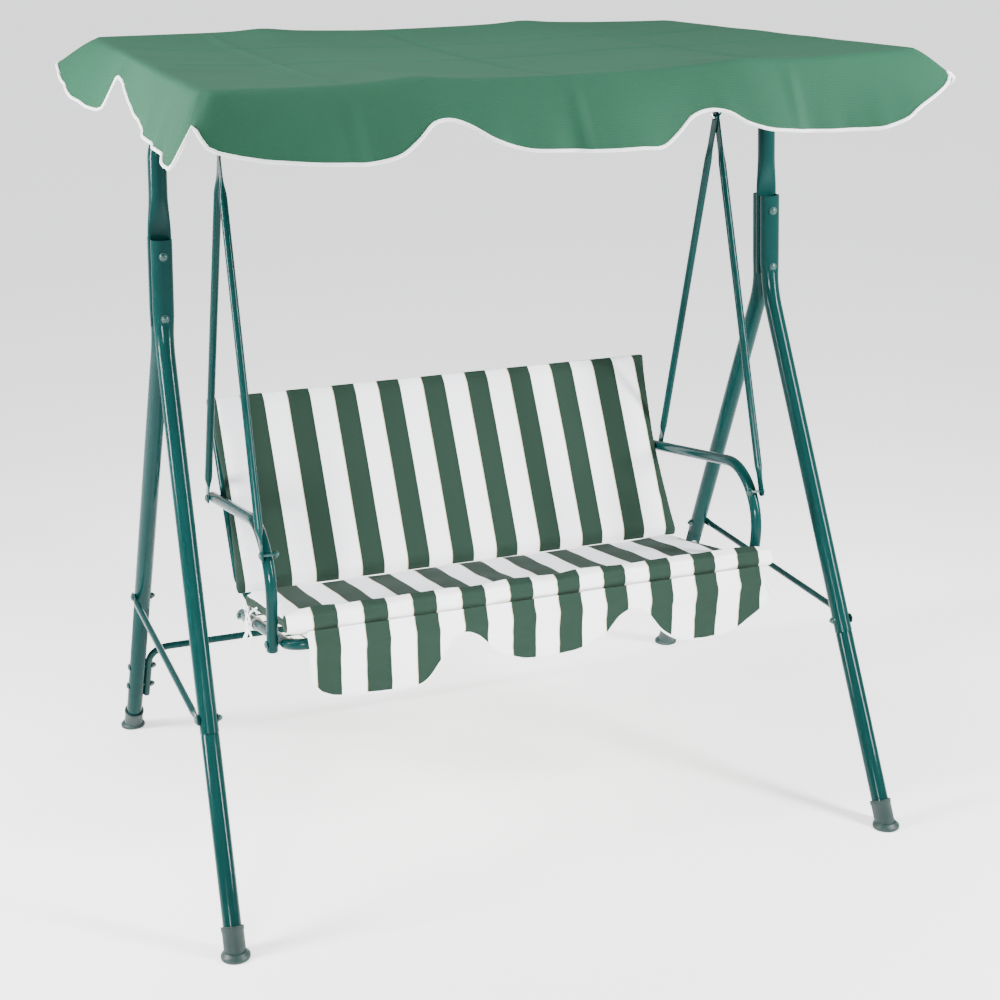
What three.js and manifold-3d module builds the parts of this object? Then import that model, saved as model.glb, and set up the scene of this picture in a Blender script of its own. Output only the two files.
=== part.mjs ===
// Canopy swing bench: an A-frame of steel tube with a cloth canopy and a hanging two-seat bench.
// Millimetres. +X runs along the bench to the right, -Y is the side one sits down from, +Z is up.
// The origin is on the floor, in the middle between the four feet.
import * as THREE from 'three';
import { mergeVertices } from 'three/addons/utils/BufferGeometryUtils.js';
import Module from 'manifold-3d';

const wasm = await Module();
wasm.setup();

// ---- driving dimensions -------------------------------------------------------------------
const GAP = 0.3;                  // air left between pieces that touch on the real bench
const WALL = 1.2;                 // wall of every large steel tube
const THIN_WALL = 1;              // wall of struts and hanger arms
const PRESSED = 3;                // thickness of a small tube where its end is pressed flat
const FAR = 2000;                 // reach of cutting shapes past the object

const FOOT_X = 666;               // foot centre from the middle, along the bench
const FOOT_Y = 520;               // foot centre from the middle, front to back
const LEG_TOP_Z = 1201;           // top of the upper leg tubes
const LEG_TOP_X = 625;            // side frame at the leg tops, from the middle
const LEG_TUBE = 35;              // upper leg tube, outer diameter
const LOWER_LEG_TUBE = 34;
const LOWER_LEG_Z = 8;            // open bottom end of a lower leg, inside its foot cap
const LEG_BEND_Z = 1006;          // height at which the slanting and upright runs would cross
const LEG_BEND_RADIUS = 160;
const LEG_JOINT_Z = 357;          // seam between lower and upper leg
const PLUG_LENGTH = 60;           // neck of the lower leg inside the upper leg
const POST_BOLT_Z = [1171, 1055];
const POST_FOOT_Z = 1037;         // lower end of the beam post, between the leg tops
const TONGUE = 10;                // thickness of that pressed end
const LEG_PRESS = { flat: 156, fade: 34, thickness: 25, width: 40 };
const POST_PRESS = { flat: 170, fade: 70, thickness: TONGUE, width: 44 };

const CAP_HEIGHT = 55;            // foot cap sleeve
const CAP_SLEEVE = 40;
const CAP_FLANGE = 54;
const CAP_FLOOR = 7;              // thickness below the leg

const STRUT_Z = 381;              // side strut, bolted to the outside of the legs
const STRUT_TUBE = 13;
const STRUT_OVERHANG = 11;        // how far a strut runs past its bolt
const STRUT_PRESS = { flat: 26, fade: 26, thickness: PRESSED, width: 19 };
const CROSSBAR_TUBE = 15;
const CROSSBAR_Z = 229;           // rear crossbar's long run
const CROSSBAR_END_Z = 95;
const CROSSBAR_BOLT_Z = [180, 125];
const CROSSBAR_BEND = 42;

const BEAM_Z = 1413;              // axis of the top beam
const BEAM_TUBE = 35;
const BEAM_BEND = 72;
const SLEEVE_LENGTH = 120;        // middle sleeve that joins the two beam halves
const SLEEVE_WALL = 1.5;

const CANOPY_X = 646;             // upper edge of the canopy cover, half length
const CANOPY_Y = 526;             // upper edge of the canopy cover, half depth
const CANOPY_TOP = 1522;
const CLOTH = 2.5;                // wall of the canopy cover and of the skirt
const VALANCE = 110;              // drop of the valance at its scallops
const LONG_FLARE = 70;            // outward lean of the front and rear valance over that drop
const SIDE_FLARE = 40;
const LONG_ARCHES = [-262, 208];  // arches in the front hem; the rear hem is its half turn
const SIDE_ARCH = -10;
const ARCH_RISE = 42;             // how much shorter the valance is at its arches
const CORNER_RISE = 62;
const ARCH_HALF = 95;             // half width of an arch
const RAIL_TUBE = 19;
const RAIL_Z = 1505;
const RAIL_BEND = 40;
const RAIL_RETURN = 150;          // how far a canopy rail runs back past its corner
const RAIL_PLUG = 40;             // neck of a side bar inside a rail
const SUPPORT_X = 290;            // canopy support bars, from the middle
const SUPPORT_WING = 90;          // half of a support's level middle stretch
const SUPPORT_BEND = 80;
const SUPPORT_PRESS = { flat: 22, fade: 34, thickness: PRESSED, width: 26 };

const PIVOT_X = 506;              // hanger hooks
const PIVOT_Z = 1362;             // axis the bench swings about
const HOOK_WIRE = 8;
const HOOK_RADIUS = 13;
const EYE_HOLE = 12;
const ARM_TUBE = 15.5;
const ARM_TOP_PRESS = { flat: 62, fade: 45, thickness: PRESSED, width: 22 };
const ARM_FOOT_PRESS = { flat: 34, fade: 30, thickness: PRESSED, width: 21 };
const ARM_OVERHANG = 11;          // how far a hanger arm runs past its eye and its bolt

const ARMREST_X = 503;
const ARMREST_TUBE = 22;
const ARMREST_BEND = 112;
const ARMREST_CORNER = [-256, 700];   // y, z of the bend's corner
const ARMREST_END = [-218, 447];
const ARMREST_BOLT = [-221, 462];
const FRONT_BOLT = [-226, 641];       // front hanger arm on the armrest
const REAR_BOLT_Z = 606;              // rear hanger arm, armrest and back frame share a bolt
const SEAT_TUBE = 22;
const SEAT_X = 479;               // side rails of seat and back frame
const SEAT_FRONT = [-266, 471];   // front rail axis: y, z
const SEAT_REAR = [133, 385];     // where seat and back frame meet
const SEAT_BEND = 38;
const BACK_TUBE = 19;
const BACK_LEAN = THREE.MathUtils.degToRad(28.7);
const BACK_TOP_Z = 775;
const BACK_SHOULDER_Z = 452;      // where the back frame's sides step in to meet the seat frame
const BACK_BEND = 60;
const BACK_PRESS = { flat: 30, fade: 24, thickness: PRESSED, width: 26 };
const WIRE = 4;
const GRID_INSET = 19;            // from a side rail's axis to the ends of the grid wires

const CUSHION_X = 486;            // half width of the cushions
const CUSHION_LIFT = 1.5;         // air between a frame tube and the cushion on it
const SEAT_PAD = 36;
const ROLL_FRONT = -297;          // the seat cushion's thick front edge
const ROLL_TOP = 545;
const BACK_PAD = 18;
const BACK_PAD_Z = [424, 792];
const SKIRT_Y = -293;
const SKIRT_ENDS = [-452, 488];
const SKIRT_TOP = 502;
const SKIRT_BOTTOM = 366;
const SKIRT_ARCHES = [-146, 210];
const SKIRT_RISE = 93;
const SKIRT_ARCH_HALF = 82;

const BOLT = 6;
const BOLT_HEAD = 6.5;            // radius
const NUT = 5.4;                  // radius
const HOLE = BOLT + 3 * GAP;

// ---- places worked out from them ----------------------------------------------------------
const v3 = (x, y, z) => new THREE.Vector3(x, y, z);
const X = v3(1, 0, 0);
const Y = v3(0, 1, 0);
const Z = v3(0, 0, 1);
const sides = [{ name: 'left', s: -1 }, { name: 'right', s: 1 }];
const ends = [{ name: 'front', e: -1 }, { name: 'rear', e: 1 }];
const levels = ['upper', 'lower'];

// Each side frame leans inwards by its splay; inside it the legs slope towards each other.
const splay = Math.atan2(FOOT_X - LEG_TOP_X, LEG_TOP_Z);
const legTopY = TONGUE / 2 + LEG_PRESS.thickness / 2 + GAP;
const legSlope = (FOOT_Y - legTopY) / LEG_BEND_Z;
const legY = (z) => FOOT_Y - z * legSlope;
const legX = (z) => FOOT_X - z * Math.tan(splay);
const sideMatrix = (s) => new THREE.Matrix4().makeRotationY(-s * splay).setPosition(s * FOOT_X, 0, 0);
const onSide = (s, x, y, z) => v3(x, y, z).applyMatrix4(sideMatrix(s));

const supportLowZ = BEAM_Z + BEAM_TUBE / 2 + RAIL_TUBE / 2 + GAP;
const railX = CANOPY_X - RAIL_TUBE / 2 - CLOTH - 1;
const railY = CANOPY_Y - RAIL_TUBE / 2 - CLOTH - 1;

const armrestOuter = ARMREST_X + ARMREST_TUBE / 2;
const backX = SEAT_X - SEAT_TUBE / 2 - PRESSED / 2 - 2;
const seatSlope = Math.atan2(SEAT_FRONT[1] - SEAT_REAR[1], SEAT_REAR[0] - SEAT_FRONT[0]);
const seatPoint = (t) => [0, 1].map((i) => SEAT_FRONT[i] + t * (SEAT_REAR[i] - SEAT_FRONT[i]));
const backPoint = (z) => [SEAT_REAR[0] + (z - SEAT_REAR[1]) * Math.tan(BACK_LEAN), z];
const REAR_BOLT = backPoint(REAR_BOLT_Z);

// ---- finishes -----------------------------------------------------------------------------
function finish(color, roughness, metalness) {
  return () => new THREE.MeshStandardMaterial({ color, roughness, metalness });
}

const enamel = finish(0x1f6461, 0.3, 0.3);
const zinc = finish(0xc4c8cc, 0.35, 0.9);
const plastic = finish(0x143a38, 0.5, 0);
const canopyCloth = finish(0x4f8a6c, 0.85, 0);
const stripedCloth = finish(0x3c6450, 0.9, 0);

const bench = new THREE.Group();

function addPart(name, geometry, material, parent = bench) {
  const mesh = new THREE.Mesh(geometry, material());
  mesh.name = name;
  parent.add(mesh);
}

// ---- solids -------------------------------------------------------------------------------
const profile = (points) => points.map(([x, y]) => new THREE.Vector2(x, y));

function toSolid(geometry) {
  const bare = geometry.clone();
  bare.deleteAttribute('normal');
  bare.deleteAttribute('uv');
  const merged = mergeVertices(bare, 1e-3);
  const index = merged.index.array;
  const kept = [];
  for (let i = 0; i < index.length; i += 3) {
    const [a, b, c] = index.slice(i, i + 3);
    if (a !== b && b !== c && a !== c) kept.push(a, b, c);
  }
  const mesh = new wasm.Mesh({
    numProp: 3,
    vertProperties: Float32Array.from(merged.attributes.position.array),
    triVerts: Uint32Array.from(kept),
  });
  return new wasm.Manifold(mesh);
}

function toGeometry(solid) {
  const mesh = solid.getMesh();
  const geometry = new THREE.BufferGeometry();
  geometry.setAttribute('position', new THREE.BufferAttribute(mesh.vertProperties, 3));
  geometry.setIndex(new THREE.BufferAttribute(mesh.triVerts, 1));
  geometry.computeVertexNormals();
  return geometry;
}

function cut(geometry, tools) {
  return toGeometry(tools.reduce((solid, tool) => solid.subtract(toSolid(tool)), toSolid(geometry)));
}

function join(geometries) {
  return toGeometry(geometries.map(toSolid).reduce((a, b) => a.add(b)));
}

// Turns a geometry made along +Y so that it runs along a direction from a start point.
function lay(geometry, start, direction) {
  const turn = new THREE.Quaternion().setFromUnitVectors(Y, direction.clone().normalize());
  return geometry.applyQuaternion(turn).translate(start.x, start.y, start.z);
}

// A round bar between two points.
function bar(from, to, diameter, segments = 12) {
  const length = from.distanceTo(to);
  const geometry = new THREE.CylinderGeometry(diameter / 2, diameter / 2, length, segments);
  return lay(geometry.translate(0, length / 2, 0), from, to.clone().sub(from));
}

// The space of a bolt hole: it reaches 60 mm to both sides of a point.
function hole(point, direction, diameter = HOLE) {
  const reach = direction.clone().normalize().multiplyScalar(60);
  return bar(point.clone().sub(reach), point.clone().add(reach), diameter, 8);
}

// Gives one corner of a route a bend radius of its own.
const bend = (corner, radius) => Object.assign(corner, { radius });

// A path of straight runs joined by round bends, with sections only where it turns.
class BentRoute extends THREE.Curve {
  constructor(corners, radius) {
    super();
    this.stations = [];
    const last = corners.length - 1;
    const heading = (i) => corners[i + 1].clone().sub(corners[i]).normalize();
    this.add(corners[0], heading(0));
    for (let i = 1; i < last; i += 1) {
      this.turn(corners[i], heading(i - 1), heading(i), corners[i].radius ?? radius);
    }
    this.add(corners[last], heading(last - 1));
  }

  add(point, tangent) {
    this.stations.push({ point, tangent });
  }

  turn(corner, before, after, radius) {
    const angle = before.angleTo(after);
    if (angle < 1e-3) {
      this.add(corner, before);
      return;
    }
    const inward = after.clone().addScaledVector(before, -after.dot(before)).normalize();
    const start = corner.clone().addScaledVector(before, -radius * Math.tan(angle / 2));
    const steps = Math.max(2, Math.ceil(angle / THREE.MathUtils.degToRad(24)));
    for (let i = 0; i <= steps; i += 1) {
      const a = (angle * i) / steps;
      const point = start.clone().addScaledVector(inward, radius * (1 - Math.cos(a)));
      point.addScaledVector(before, radius * Math.sin(a));
      const tangent = before.clone().multiplyScalar(Math.cos(a)).addScaledVector(inward, Math.sin(a));
      this.add(point, tangent);
    }
  }

  blend(t, key) {
    const at = t * (this.stations.length - 1);
    const i = Math.min(Math.floor(at + 1e-9), this.stations.length - 2);
    return this.stations[i][key].clone().lerp(this.stations[i + 1][key], at - i);
  }

  getPoint(t) {
    return this.blend(t, 'point');
  }

  getPointAt(t) {
    return this.blend(t, 'point');
  }

  getTangent(t) {
    return this.blend(t, 'tangent').normalize();
  }

  getTangentAt(t) {
    return this.getTangent(t);
  }
}

function extrudeAlong(path, section) {
  return new THREE.ExtrudeGeometry(section, {
    steps: path.stations.length - 1,
    curveSegments: 4,
    bevelEnabled: false,
    extrudePath: path,
  });
}

// A steel tube along corners with round bends; both ends are open.
function tube(corners, radius, diameter, wall = WALL) {
  const ring = new THREE.Shape().absarc(0, 0, diameter / 2, 0, 2 * Math.PI);
  ring.holes.push(new THREE.Path().absarc(0, 0, diameter / 2 - wall, 0, 2 * Math.PI));
  return extrudeAlong(new BentRoute(corners, radius), ring);
}

// Presses the end of a tube: within `flat` of the end it gets a new thickness and width, and over
// `fade` more it comes back to round. `inward` points from the end into the tube.
function press(geometry, end, inward, thin, diameter, { flat, fade, thickness, width }) {
  const along = inward.clone().normalize();
  const wide = along.clone().cross(thin).normalize();
  const position = geometry.attributes.position;
  const point = new THREE.Vector3();
  for (let i = 0; i < position.count; i += 1) {
    point.fromBufferAttribute(position, i).sub(end);
    const atOtherEnd = Math.abs(point.dot(thin)) > diameter;
    const depth = atOtherEnd ? Infinity : point.dot(along);
    const amount = 1 - THREE.MathUtils.smoothstep(depth, flat, flat + fade);
    const thinner = point.dot(thin) * amount * (thickness / diameter - 1);
    const wider = point.dot(wide) * amount * (width / diameter - 1);
    point.addScaledVector(thin, thinner).addScaledVector(wide, wider).add(end);
    position.setXYZ(i, point.x, point.y, point.z);
  }
  return geometry;
}

// Points along a straight run where a pressed end needs sections.
function pressStations(end, inward, { flat, fade }) {
  const along = inward.clone().normalize();
  return [0, flat, flat + fade / 2, flat + fade].map((d) => end.clone().addScaledVector(along, d));
}

// A straight tube with both ends pressed.
function pressedTube(from, fromPress, to, toPress, thin, diameter) {
  const ahead = to.clone().sub(from).normalize();
  const back = ahead.clone().negate();
  const corners = [
    ...pressStations(from, ahead, fromPress),
    ...pressStations(to, back, toPress).reverse(),
  ];
  const geometry = tube(corners, 1, diameter, THIN_WALL);
  press(geometry, from, ahead, thin, diameter, fromPress);
  return press(geometry, to, back, thin, diameter, toPress);
}

// A round-headed bolt with a domed nut. The grip is the length between head and nut.
function bolt(start, direction, grip) {
  const outline = [
    [0, -3.6], [BOLT_HEAD * 0.7, -2.8], [BOLT_HEAD, 0], [BOLT / 2, 0], [BOLT / 2, grip],
    [NUT, grip], [NUT, grip + 5], [0, grip + 10],
  ];
  return lay(new THREE.LatheGeometry(profile(outline), 8), start, direction);
}

// ---- side frames --------------------------------------------------------------------------
function upperLeg(e) {
  const y = e * legTopY;
  const foot = v3(0, e * legY(LEG_JOINT_Z), LEG_JOINT_Z);
  const top = v3(0, y, LEG_TOP_Z);
  const leg = tube([foot, v3(0, y, LEG_BEND_Z), top], LEG_BEND_RADIUS, LEG_TUBE);
  press(leg, top, Z.clone().negate(), Y, LEG_TUBE, LEG_PRESS);
  const boltHoles = POST_BOLT_Z.map((z) => hole(v3(0, y, z), Y));
  return cut(leg, [...boltHoles, hole(v3(0, e * legY(STRUT_Z), STRUT_Z), X)]);
}

function lowerLeg(e) {
  const seamZ = LEG_JOINT_Z - GAP;
  const start = v3(0, e * legY(LOWER_LEG_Z), LOWER_LEG_Z);
  const seam = v3(0, e * legY(seamZ), seamZ).distanceTo(start);
  const r = LOWER_LEG_TUBE / 2;
  const neck = LEG_TUBE / 2 - WALL - 1.6;
  const outline = [
    [r - WALL, 0], [r, 0], [r, seam], [neck, seam], [neck, seam + PLUG_LENGTH],
    [neck - WALL, seam + PLUG_LENGTH], [neck - WALL, seam - 8], [r - WALL, seam - 14], [r - WALL, 0],
  ];
  const leg = lay(new THREE.LatheGeometry(profile(outline), 10), start, v3(0, -e * legSlope, 1));
  const heights = e > 0 ? [STRUT_Z, ...CROSSBAR_BOLT_Z] : [STRUT_Z];
  return cut(leg, heights.map((z) => hole(v3(0, e * legY(z), z), X)));
}

function footCap(s, e) {
  const foot = v3(s * FOOT_X, e * FOOT_Y, 0);
  const up = v3(-s * Math.tan(splay), -e * legSlope, 1).normalize();
  const along = (distance) => foot.clone().addScaledVector(up, distance);
  const sleeve = bar(along(-20), along(CAP_HEIGHT), CAP_SLEEVE);
  const rim = CAP_FLANGE / 2;
  const outline = [[0, 0], [rim - 2, 0], [rim, 3], [rim - 2, 8], [CAP_SLEEVE / 2, 12], [0, 12]];
  const flange = new THREE.LatheGeometry(profile(outline), 16).applyMatrix4(
    new THREE.Matrix4().makeRotationX(Math.PI / 2).setPosition(foot),
  );
  const floor = new THREE.BoxGeometry(200, 200, 100).translate(foot.x, foot.y, -50);
  const bore = bar(along(CAP_FLOOR / up.z), along(2 * CAP_HEIGHT), LOWER_LEG_TUBE + 5 * GAP);
  return cut(join([sleeve, flange]), [floor, bore]);
}

function sideStrut(s) {
  const x = s * (LEG_TUBE / 2 + GAP + PRESSED / 2);
  const y = legY(STRUT_Z) + STRUT_OVERHANG;
  const [from, to] = [v3(x, -y, STRUT_Z), v3(x, y, STRUT_Z)];
  const strut = pressedTube(from, STRUT_PRESS, to, STRUT_PRESS, X, STRUT_TUBE);
  return cut(strut, ends.map(({ e }) => hole(v3(0, e * legY(STRUT_Z), STRUT_Z), X)));
}

function buildSideFrame({ name, s }) {
  const frame = new THREE.Group();
  frame.position.set(s * FOOT_X, 0, 0);
  frame.rotation.y = -s * splay;
  bench.add(frame);
  const outside = s * (LEG_TUBE / 2 + 2 * GAP + PRESSED);
  const strutGrip = Math.abs(outside) + LEG_TUBE / 2 + GAP;
  for (const { name: end, e } of ends) {
    addPart(`upper_leg_${end}_${name}`, upperLeg(e), enamel, frame);
    addPart(`lower_leg_${end}_${name}`, lowerLeg(e), enamel, frame);
    addPart(`foot_cap_${end}_${name}`, footCap(s, e), plastic);
    const start = v3(outside, e * legY(STRUT_Z), STRUT_Z);
    addPart(`strut_bolt_${end}_${name}`, bolt(start, v3(-s, 0, 0), strutGrip), zinc, frame);
  }
  addPart(`side_strut_${name}`, sideStrut(s), enamel, frame);
  const half = TONGUE / 2 + LEG_PRESS.thickness + 2 * GAP;
  levels.forEach((level, i) => {
    const start = v3(0, -half, POST_BOLT_Z[i]);
    addPart(`post_bolt_${level}_${name}`, bolt(start, Y, 2 * half), zinc, frame);
  });
}

// ---- rear crossbar ------------------------------------------------------------------------
const acrossSide = (s) => v3(-s * Math.cos(splay), 0, -Math.sin(splay));

// A point beside a rear leg: `inset` is measured from the leg's axis towards the middle.
const besideRearLeg = (s, z, inset) => onSide(s, -s * inset, legY(z), z);

function crossbar() {
  const inset = LOWER_LEG_TUBE / 2 + CROSSBAR_TUBE / 2 + GAP;
  const corners = [
    besideRearLeg(-1, CROSSBAR_END_Z, inset),
    besideRearLeg(-1, CROSSBAR_Z, inset),
    besideRearLeg(1, CROSSBAR_Z, inset),
    besideRearLeg(1, CROSSBAR_END_Z, inset),
  ];
  const holes = sides.flatMap(({ s }) => (
    CROSSBAR_BOLT_Z.map((z) => hole(besideRearLeg(s, z, inset), acrossSide(s)))
  ));
  return cut(tube(corners, CROSSBAR_BEND, CROSSBAR_TUBE), holes);
}

function buildCrossbar() {
  addPart('rear_crossbar', crossbar(), enamel);
  const grip = LOWER_LEG_TUBE + CROSSBAR_TUBE + 3 * GAP;
  for (const { name, s } of sides) {
    levels.forEach((level, i) => {
      const start = besideRearLeg(s, CROSSBAR_BOLT_Z[i], -LOWER_LEG_TUBE / 2 - GAP);
      addPart(`crossbar_bolt_${level}_${name}`, bolt(start, acrossSide(s), grip), zinc);
    });
  }
}

// ---- top beam and hooks -------------------------------------------------------------------
// Pressed foot of the post between the leg tops, upright run, bend, and half of the top beam.
function beamHalf(s) {
  const foot = v3(s * legX(POST_FOOT_Z), 0, POST_FOOT_Z);
  const corner = v3(s * legX(BEAM_Z), 0, BEAM_Z);
  const up = corner.clone().sub(foot);
  const corners = [...pressStations(foot, up, POST_PRESS), corner, v3(s * GAP, 0, BEAM_Z)];
  const post = tube(corners, BEAM_BEND, BEAM_TUBE);
  press(post, foot, up, Y, BEAM_TUBE, POST_PRESS);
  const holes = POST_BOLT_Z.map((z) => hole(onSide(s, 0, 0, z), Y));
  return cut(post, [...holes, hole(v3(s * PIVOT_X, 0, BEAM_Z), Z, HOOK_WIRE + 3 * GAP)]);
}

function beamSleeve() {
  const r = BEAM_TUBE / 2 + 4 * GAP;
  const half = SLEEVE_LENGTH / 2;
  const outline = [[r, -half], [r + SLEEVE_WALL, -half], [r + SLEEVE_WALL, half], [r, half], [r, -half]];
  return lay(new THREE.LatheGeometry(profile(outline), 16), v3(0, 0, BEAM_Z), X);
}

// A round wire that comes down through the beam and turns back up below it, held by two nuts.
function hangerHook(s) {
  const x = s * PIVOT_X;
  const r = HOOK_RADIUS;
  const corners = [
    v3(x, 0, BEAM_Z + BEAM_TUBE / 2 + 12),
    v3(x, 0, PIVOT_Z + 2 * r),
    v3(x + r, 0, PIVOT_Z + r),
    v3(x + r, 0, PIVOT_Z),
    v3(x - r, 0, PIVOT_Z),
    v3(x - r, 0, PIVOT_Z + 1.4 * r),
  ];
  const disc = new THREE.Shape().absarc(0, 0, HOOK_WIRE / 2, 0, 2 * Math.PI);
  const wire = extrudeAlong(new BentRoute(corners, r * 0.92), disc);
  const nut = () => new THREE.CylinderGeometry(7.5, 7.5, 6, 6);
  const reach = BEAM_TUBE / 2 + GAP + 3;
  return join([wire, ...[reach, -reach].map((dz) => lay(nut(), v3(x, 0, BEAM_Z + dz), Z))]);
}

function buildBeam() {
  for (const { name, s } of sides) {
    addPart(`beam_post_${name}`, beamHalf(s), enamel);
    addPart(`hanger_hook_${name}`, hangerHook(s), zinc);
  }
  addPart('beam_sleeve', beamSleeve(), enamel);
}

// ---- canopy -------------------------------------------------------------------------------
function canopyRail(e) {
  const corners = [
    v3(-railX, e * (railY - RAIL_RETURN), RAIL_Z),
    v3(-railX, e * railY, RAIL_Z),
    v3(railX, e * railY, RAIL_Z),
    v3(railX, e * (railY - RAIL_RETURN), RAIL_Z),
  ];
  return tube(corners, RAIL_BEND, RAIL_TUBE);
}

// A side bar with narrowed ends that plug into the two rails.
function canopySideBar(s) {
  const r = RAIL_TUBE / 2;
  const half = railY - RAIL_RETURN - GAP;
  const neck = r - WALL - 1.1;
  const tip = half + RAIL_PLUG;
  const outline = [
    [neck - WALL, -tip], [neck, -tip], [neck, -half], [r, -half], [r, half], [neck, half],
    [neck, tip], [neck - WALL, tip], [neck - WALL, -tip],
  ];
  return new THREE.LatheGeometry(profile(outline), 8).translate(s * railX, 0, RAIL_Z);
}

// A bar bent like a shallow gull wing: it crosses the beam in the middle, rises towards both
// rails and lies on them with its pressed ends.
function canopySupport(s) {
  const x = s * SUPPORT_X;
  const endZ = RAIL_Z + RAIL_TUBE / 2 + GAP + PRESSED / 2;
  const wing = (e) => [
    v3(x, e * (railY + 8), endZ),
    bend(v3(x, e * (railY - 16), endZ), 6),
    bend(v3(x, e * (railY - 44), RAIL_Z - 4), 6),
    bend(v3(x, e * SUPPORT_WING, supportLowZ), SUPPORT_BEND),
  ];
  const corners = [...wing(-1), ...wing(1).reverse()];
  const support = tube(corners, 0, RAIL_TUBE);
  press(support, corners[0], Y, Z, RAIL_TUBE, SUPPORT_PRESS);
  return press(support, corners.at(-1), Y.clone().negate(), Z, RAIL_TUBE, SUPPORT_PRESS);
}

// A box with its walls leaning out, open below: `inset` is measured inwards from the outer skin.
function flaredBox(inset, drop) {
  const box = new THREE.BoxGeometry(2, 2, drop);
  const position = box.attributes.position;
  for (let i = 0; i < position.count; i += 1) {
    const lean = position.getZ(i) < 0 ? drop / VALANCE : 0;
    position.setX(i, position.getX(i) * (CANOPY_X - inset + lean * SIDE_FLARE));
    position.setY(i, position.getY(i) * (CANOPY_Y - inset + lean * LONG_FLARE));
  }
  return box.translate(0, 0, CANOPY_TOP - inset - drop / 2);
}

// The space below a hem along X that rises to an arch at each given place.
function hemCutter(bottom, arches, halfWidth) {
  const steps = 8;
  const shape = new THREE.Shape().moveTo(-FAR, bottom - FAR).lineTo(-FAR, bottom);
  for (const { at, rise } of arches) {
    for (let i = -steps; i <= steps; i += 1) {
      const lift = (rise * (1 + Math.cos((Math.PI * i) / steps))) / 2;
      shape.lineTo(at + (i / steps) * halfWidth, bottom + lift);
    }
  }
  shape.lineTo(FAR, bottom).lineTo(FAR, bottom - FAR);
  const cutter = new THREE.ExtrudeGeometry(shape, { depth: 2 * FAR, bevelEnabled: false });
  return cutter.translate(0, 0, -FAR).rotateX(Math.PI / 2);
}

// A hem's cutter with a corner arch at both ends, kept to the stretch in front of its edge.
function canopyHem(middle, halfLength) {
  const arches = [
    { at: -halfLength, rise: CORNER_RISE },
    ...middle.map((at) => ({ at, rise: ARCH_RISE })),
    { at: halfLength, rise: CORNER_RISE },
  ];
  const stretch = new THREE.BoxGeometry(2 * halfLength, FAR, FAR).translate(0, -FAR / 2, CANOPY_TOP);
  const cutter = toSolid(hemCutter(CANOPY_TOP - VALANCE, arches, ARCH_HALF));
  return toGeometry(cutter.intersect(toSolid(stretch)));
}

function canopyCover() {
  const clear = 3;
  const [hx, hy] = [CANOPY_X + clear, CANOPY_Y + clear];
  const hems = [0, 2].map((turns) => canopyHem(LONG_ARCHES, hx).rotateZ((turns * Math.PI) / 2));
  hems.push(...[1, 3].map((turns) => canopyHem([SIDE_ARCH], hy).rotateZ((turns * Math.PI) / 2)));
  const cornerTop = CANOPY_TOP - VALANCE + CORNER_RISE;
  const below = new THREE.BoxGeometry(FAR, FAR, VALANCE).translate(0, 0, cornerTop - VALANCE / 2);
  const corners = cut(below, [
    new THREE.BoxGeometry(2 * hx, 2 * FAR, FAR).translate(0, 0, CANOPY_TOP),
    new THREE.BoxGeometry(2 * FAR, 2 * hy, FAR).translate(0, 0, CANOPY_TOP),
  ]);
  return cut(flaredBox(0, VALANCE + 20), [flaredBox(CLOTH, VALANCE + 60), ...hems, corners]);
}

function buildCanopy() {
  for (const { name, e } of ends) addPart(`canopy_rail_${name}`, canopyRail(e), enamel);
  for (const { name, s } of sides) {
    addPart(`canopy_side_bar_${name}`, canopySideBar(s), enamel);
    addPart(`canopy_support_${name}`, canopySupport(s), enamel);
  }
  addPart('canopy_cover', canopyCover(), canopyCloth);
}

// ---- hanging bench ------------------------------------------------------------------------
// Both ends are pressed flat; the upper one has the eye that hangs in the hook.
function hangerArm(s, e, target) {
  const eye = v3(s * (PIVOT_X - e * (PRESSED / 2 + GAP / 2)), 0, PIVOT_Z);
  const pin = v3(s * (armrestOuter + GAP + PRESSED / 2), ...target);
  const down = pin.clone().sub(eye).normalize();
  const top = eye.clone().addScaledVector(down, -ARM_OVERHANG);
  const low = pin.clone().addScaledVector(down, ARM_OVERHANG);
  const thin = X.clone().addScaledVector(down, -X.dot(down)).normalize();
  const arm = pressedTube(top, ARM_TOP_PRESS, low, ARM_FOOT_PRESS, thin, ARM_TUBE);
  return cut(arm, [hole(eye, X, EYE_HOLE), hole(pin, X)]);
}

function armrest(s) {
  const x = s * ARMREST_X;
  const rear = v3(x, REAR_BOLT[0] + 13, REAR_BOLT[1] - 2.3);
  const corners = [rear, v3(x, ...ARMREST_CORNER), v3(x, ...ARMREST_END)];
  const pins = [FRONT_BOLT, REAR_BOLT, ARMREST_BOLT];
  return cut(tube(corners, ARMREST_BEND, ARMREST_TUBE), pins.map((pin) => hole(v3(x, ...pin), X)));
}

// Bolt holes through both side rails of a frame.
const railHoles = (pins) => (
  sides.flatMap(({ s }) => pins.map((pin) => hole(v3(s * SEAT_X, ...pin), X)))
);

function seatFrame() {
  const rear = seatPoint(1.04);
  const corners = [
    v3(-SEAT_X, ...rear), v3(-SEAT_X, ...SEAT_FRONT), v3(SEAT_X, ...SEAT_FRONT), v3(SEAT_X, ...rear),
  ];
  return cut(tube(corners, SEAT_BEND, SEAT_TUBE), railHoles([ARMREST_BOLT, SEAT_REAR]));
}

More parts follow.
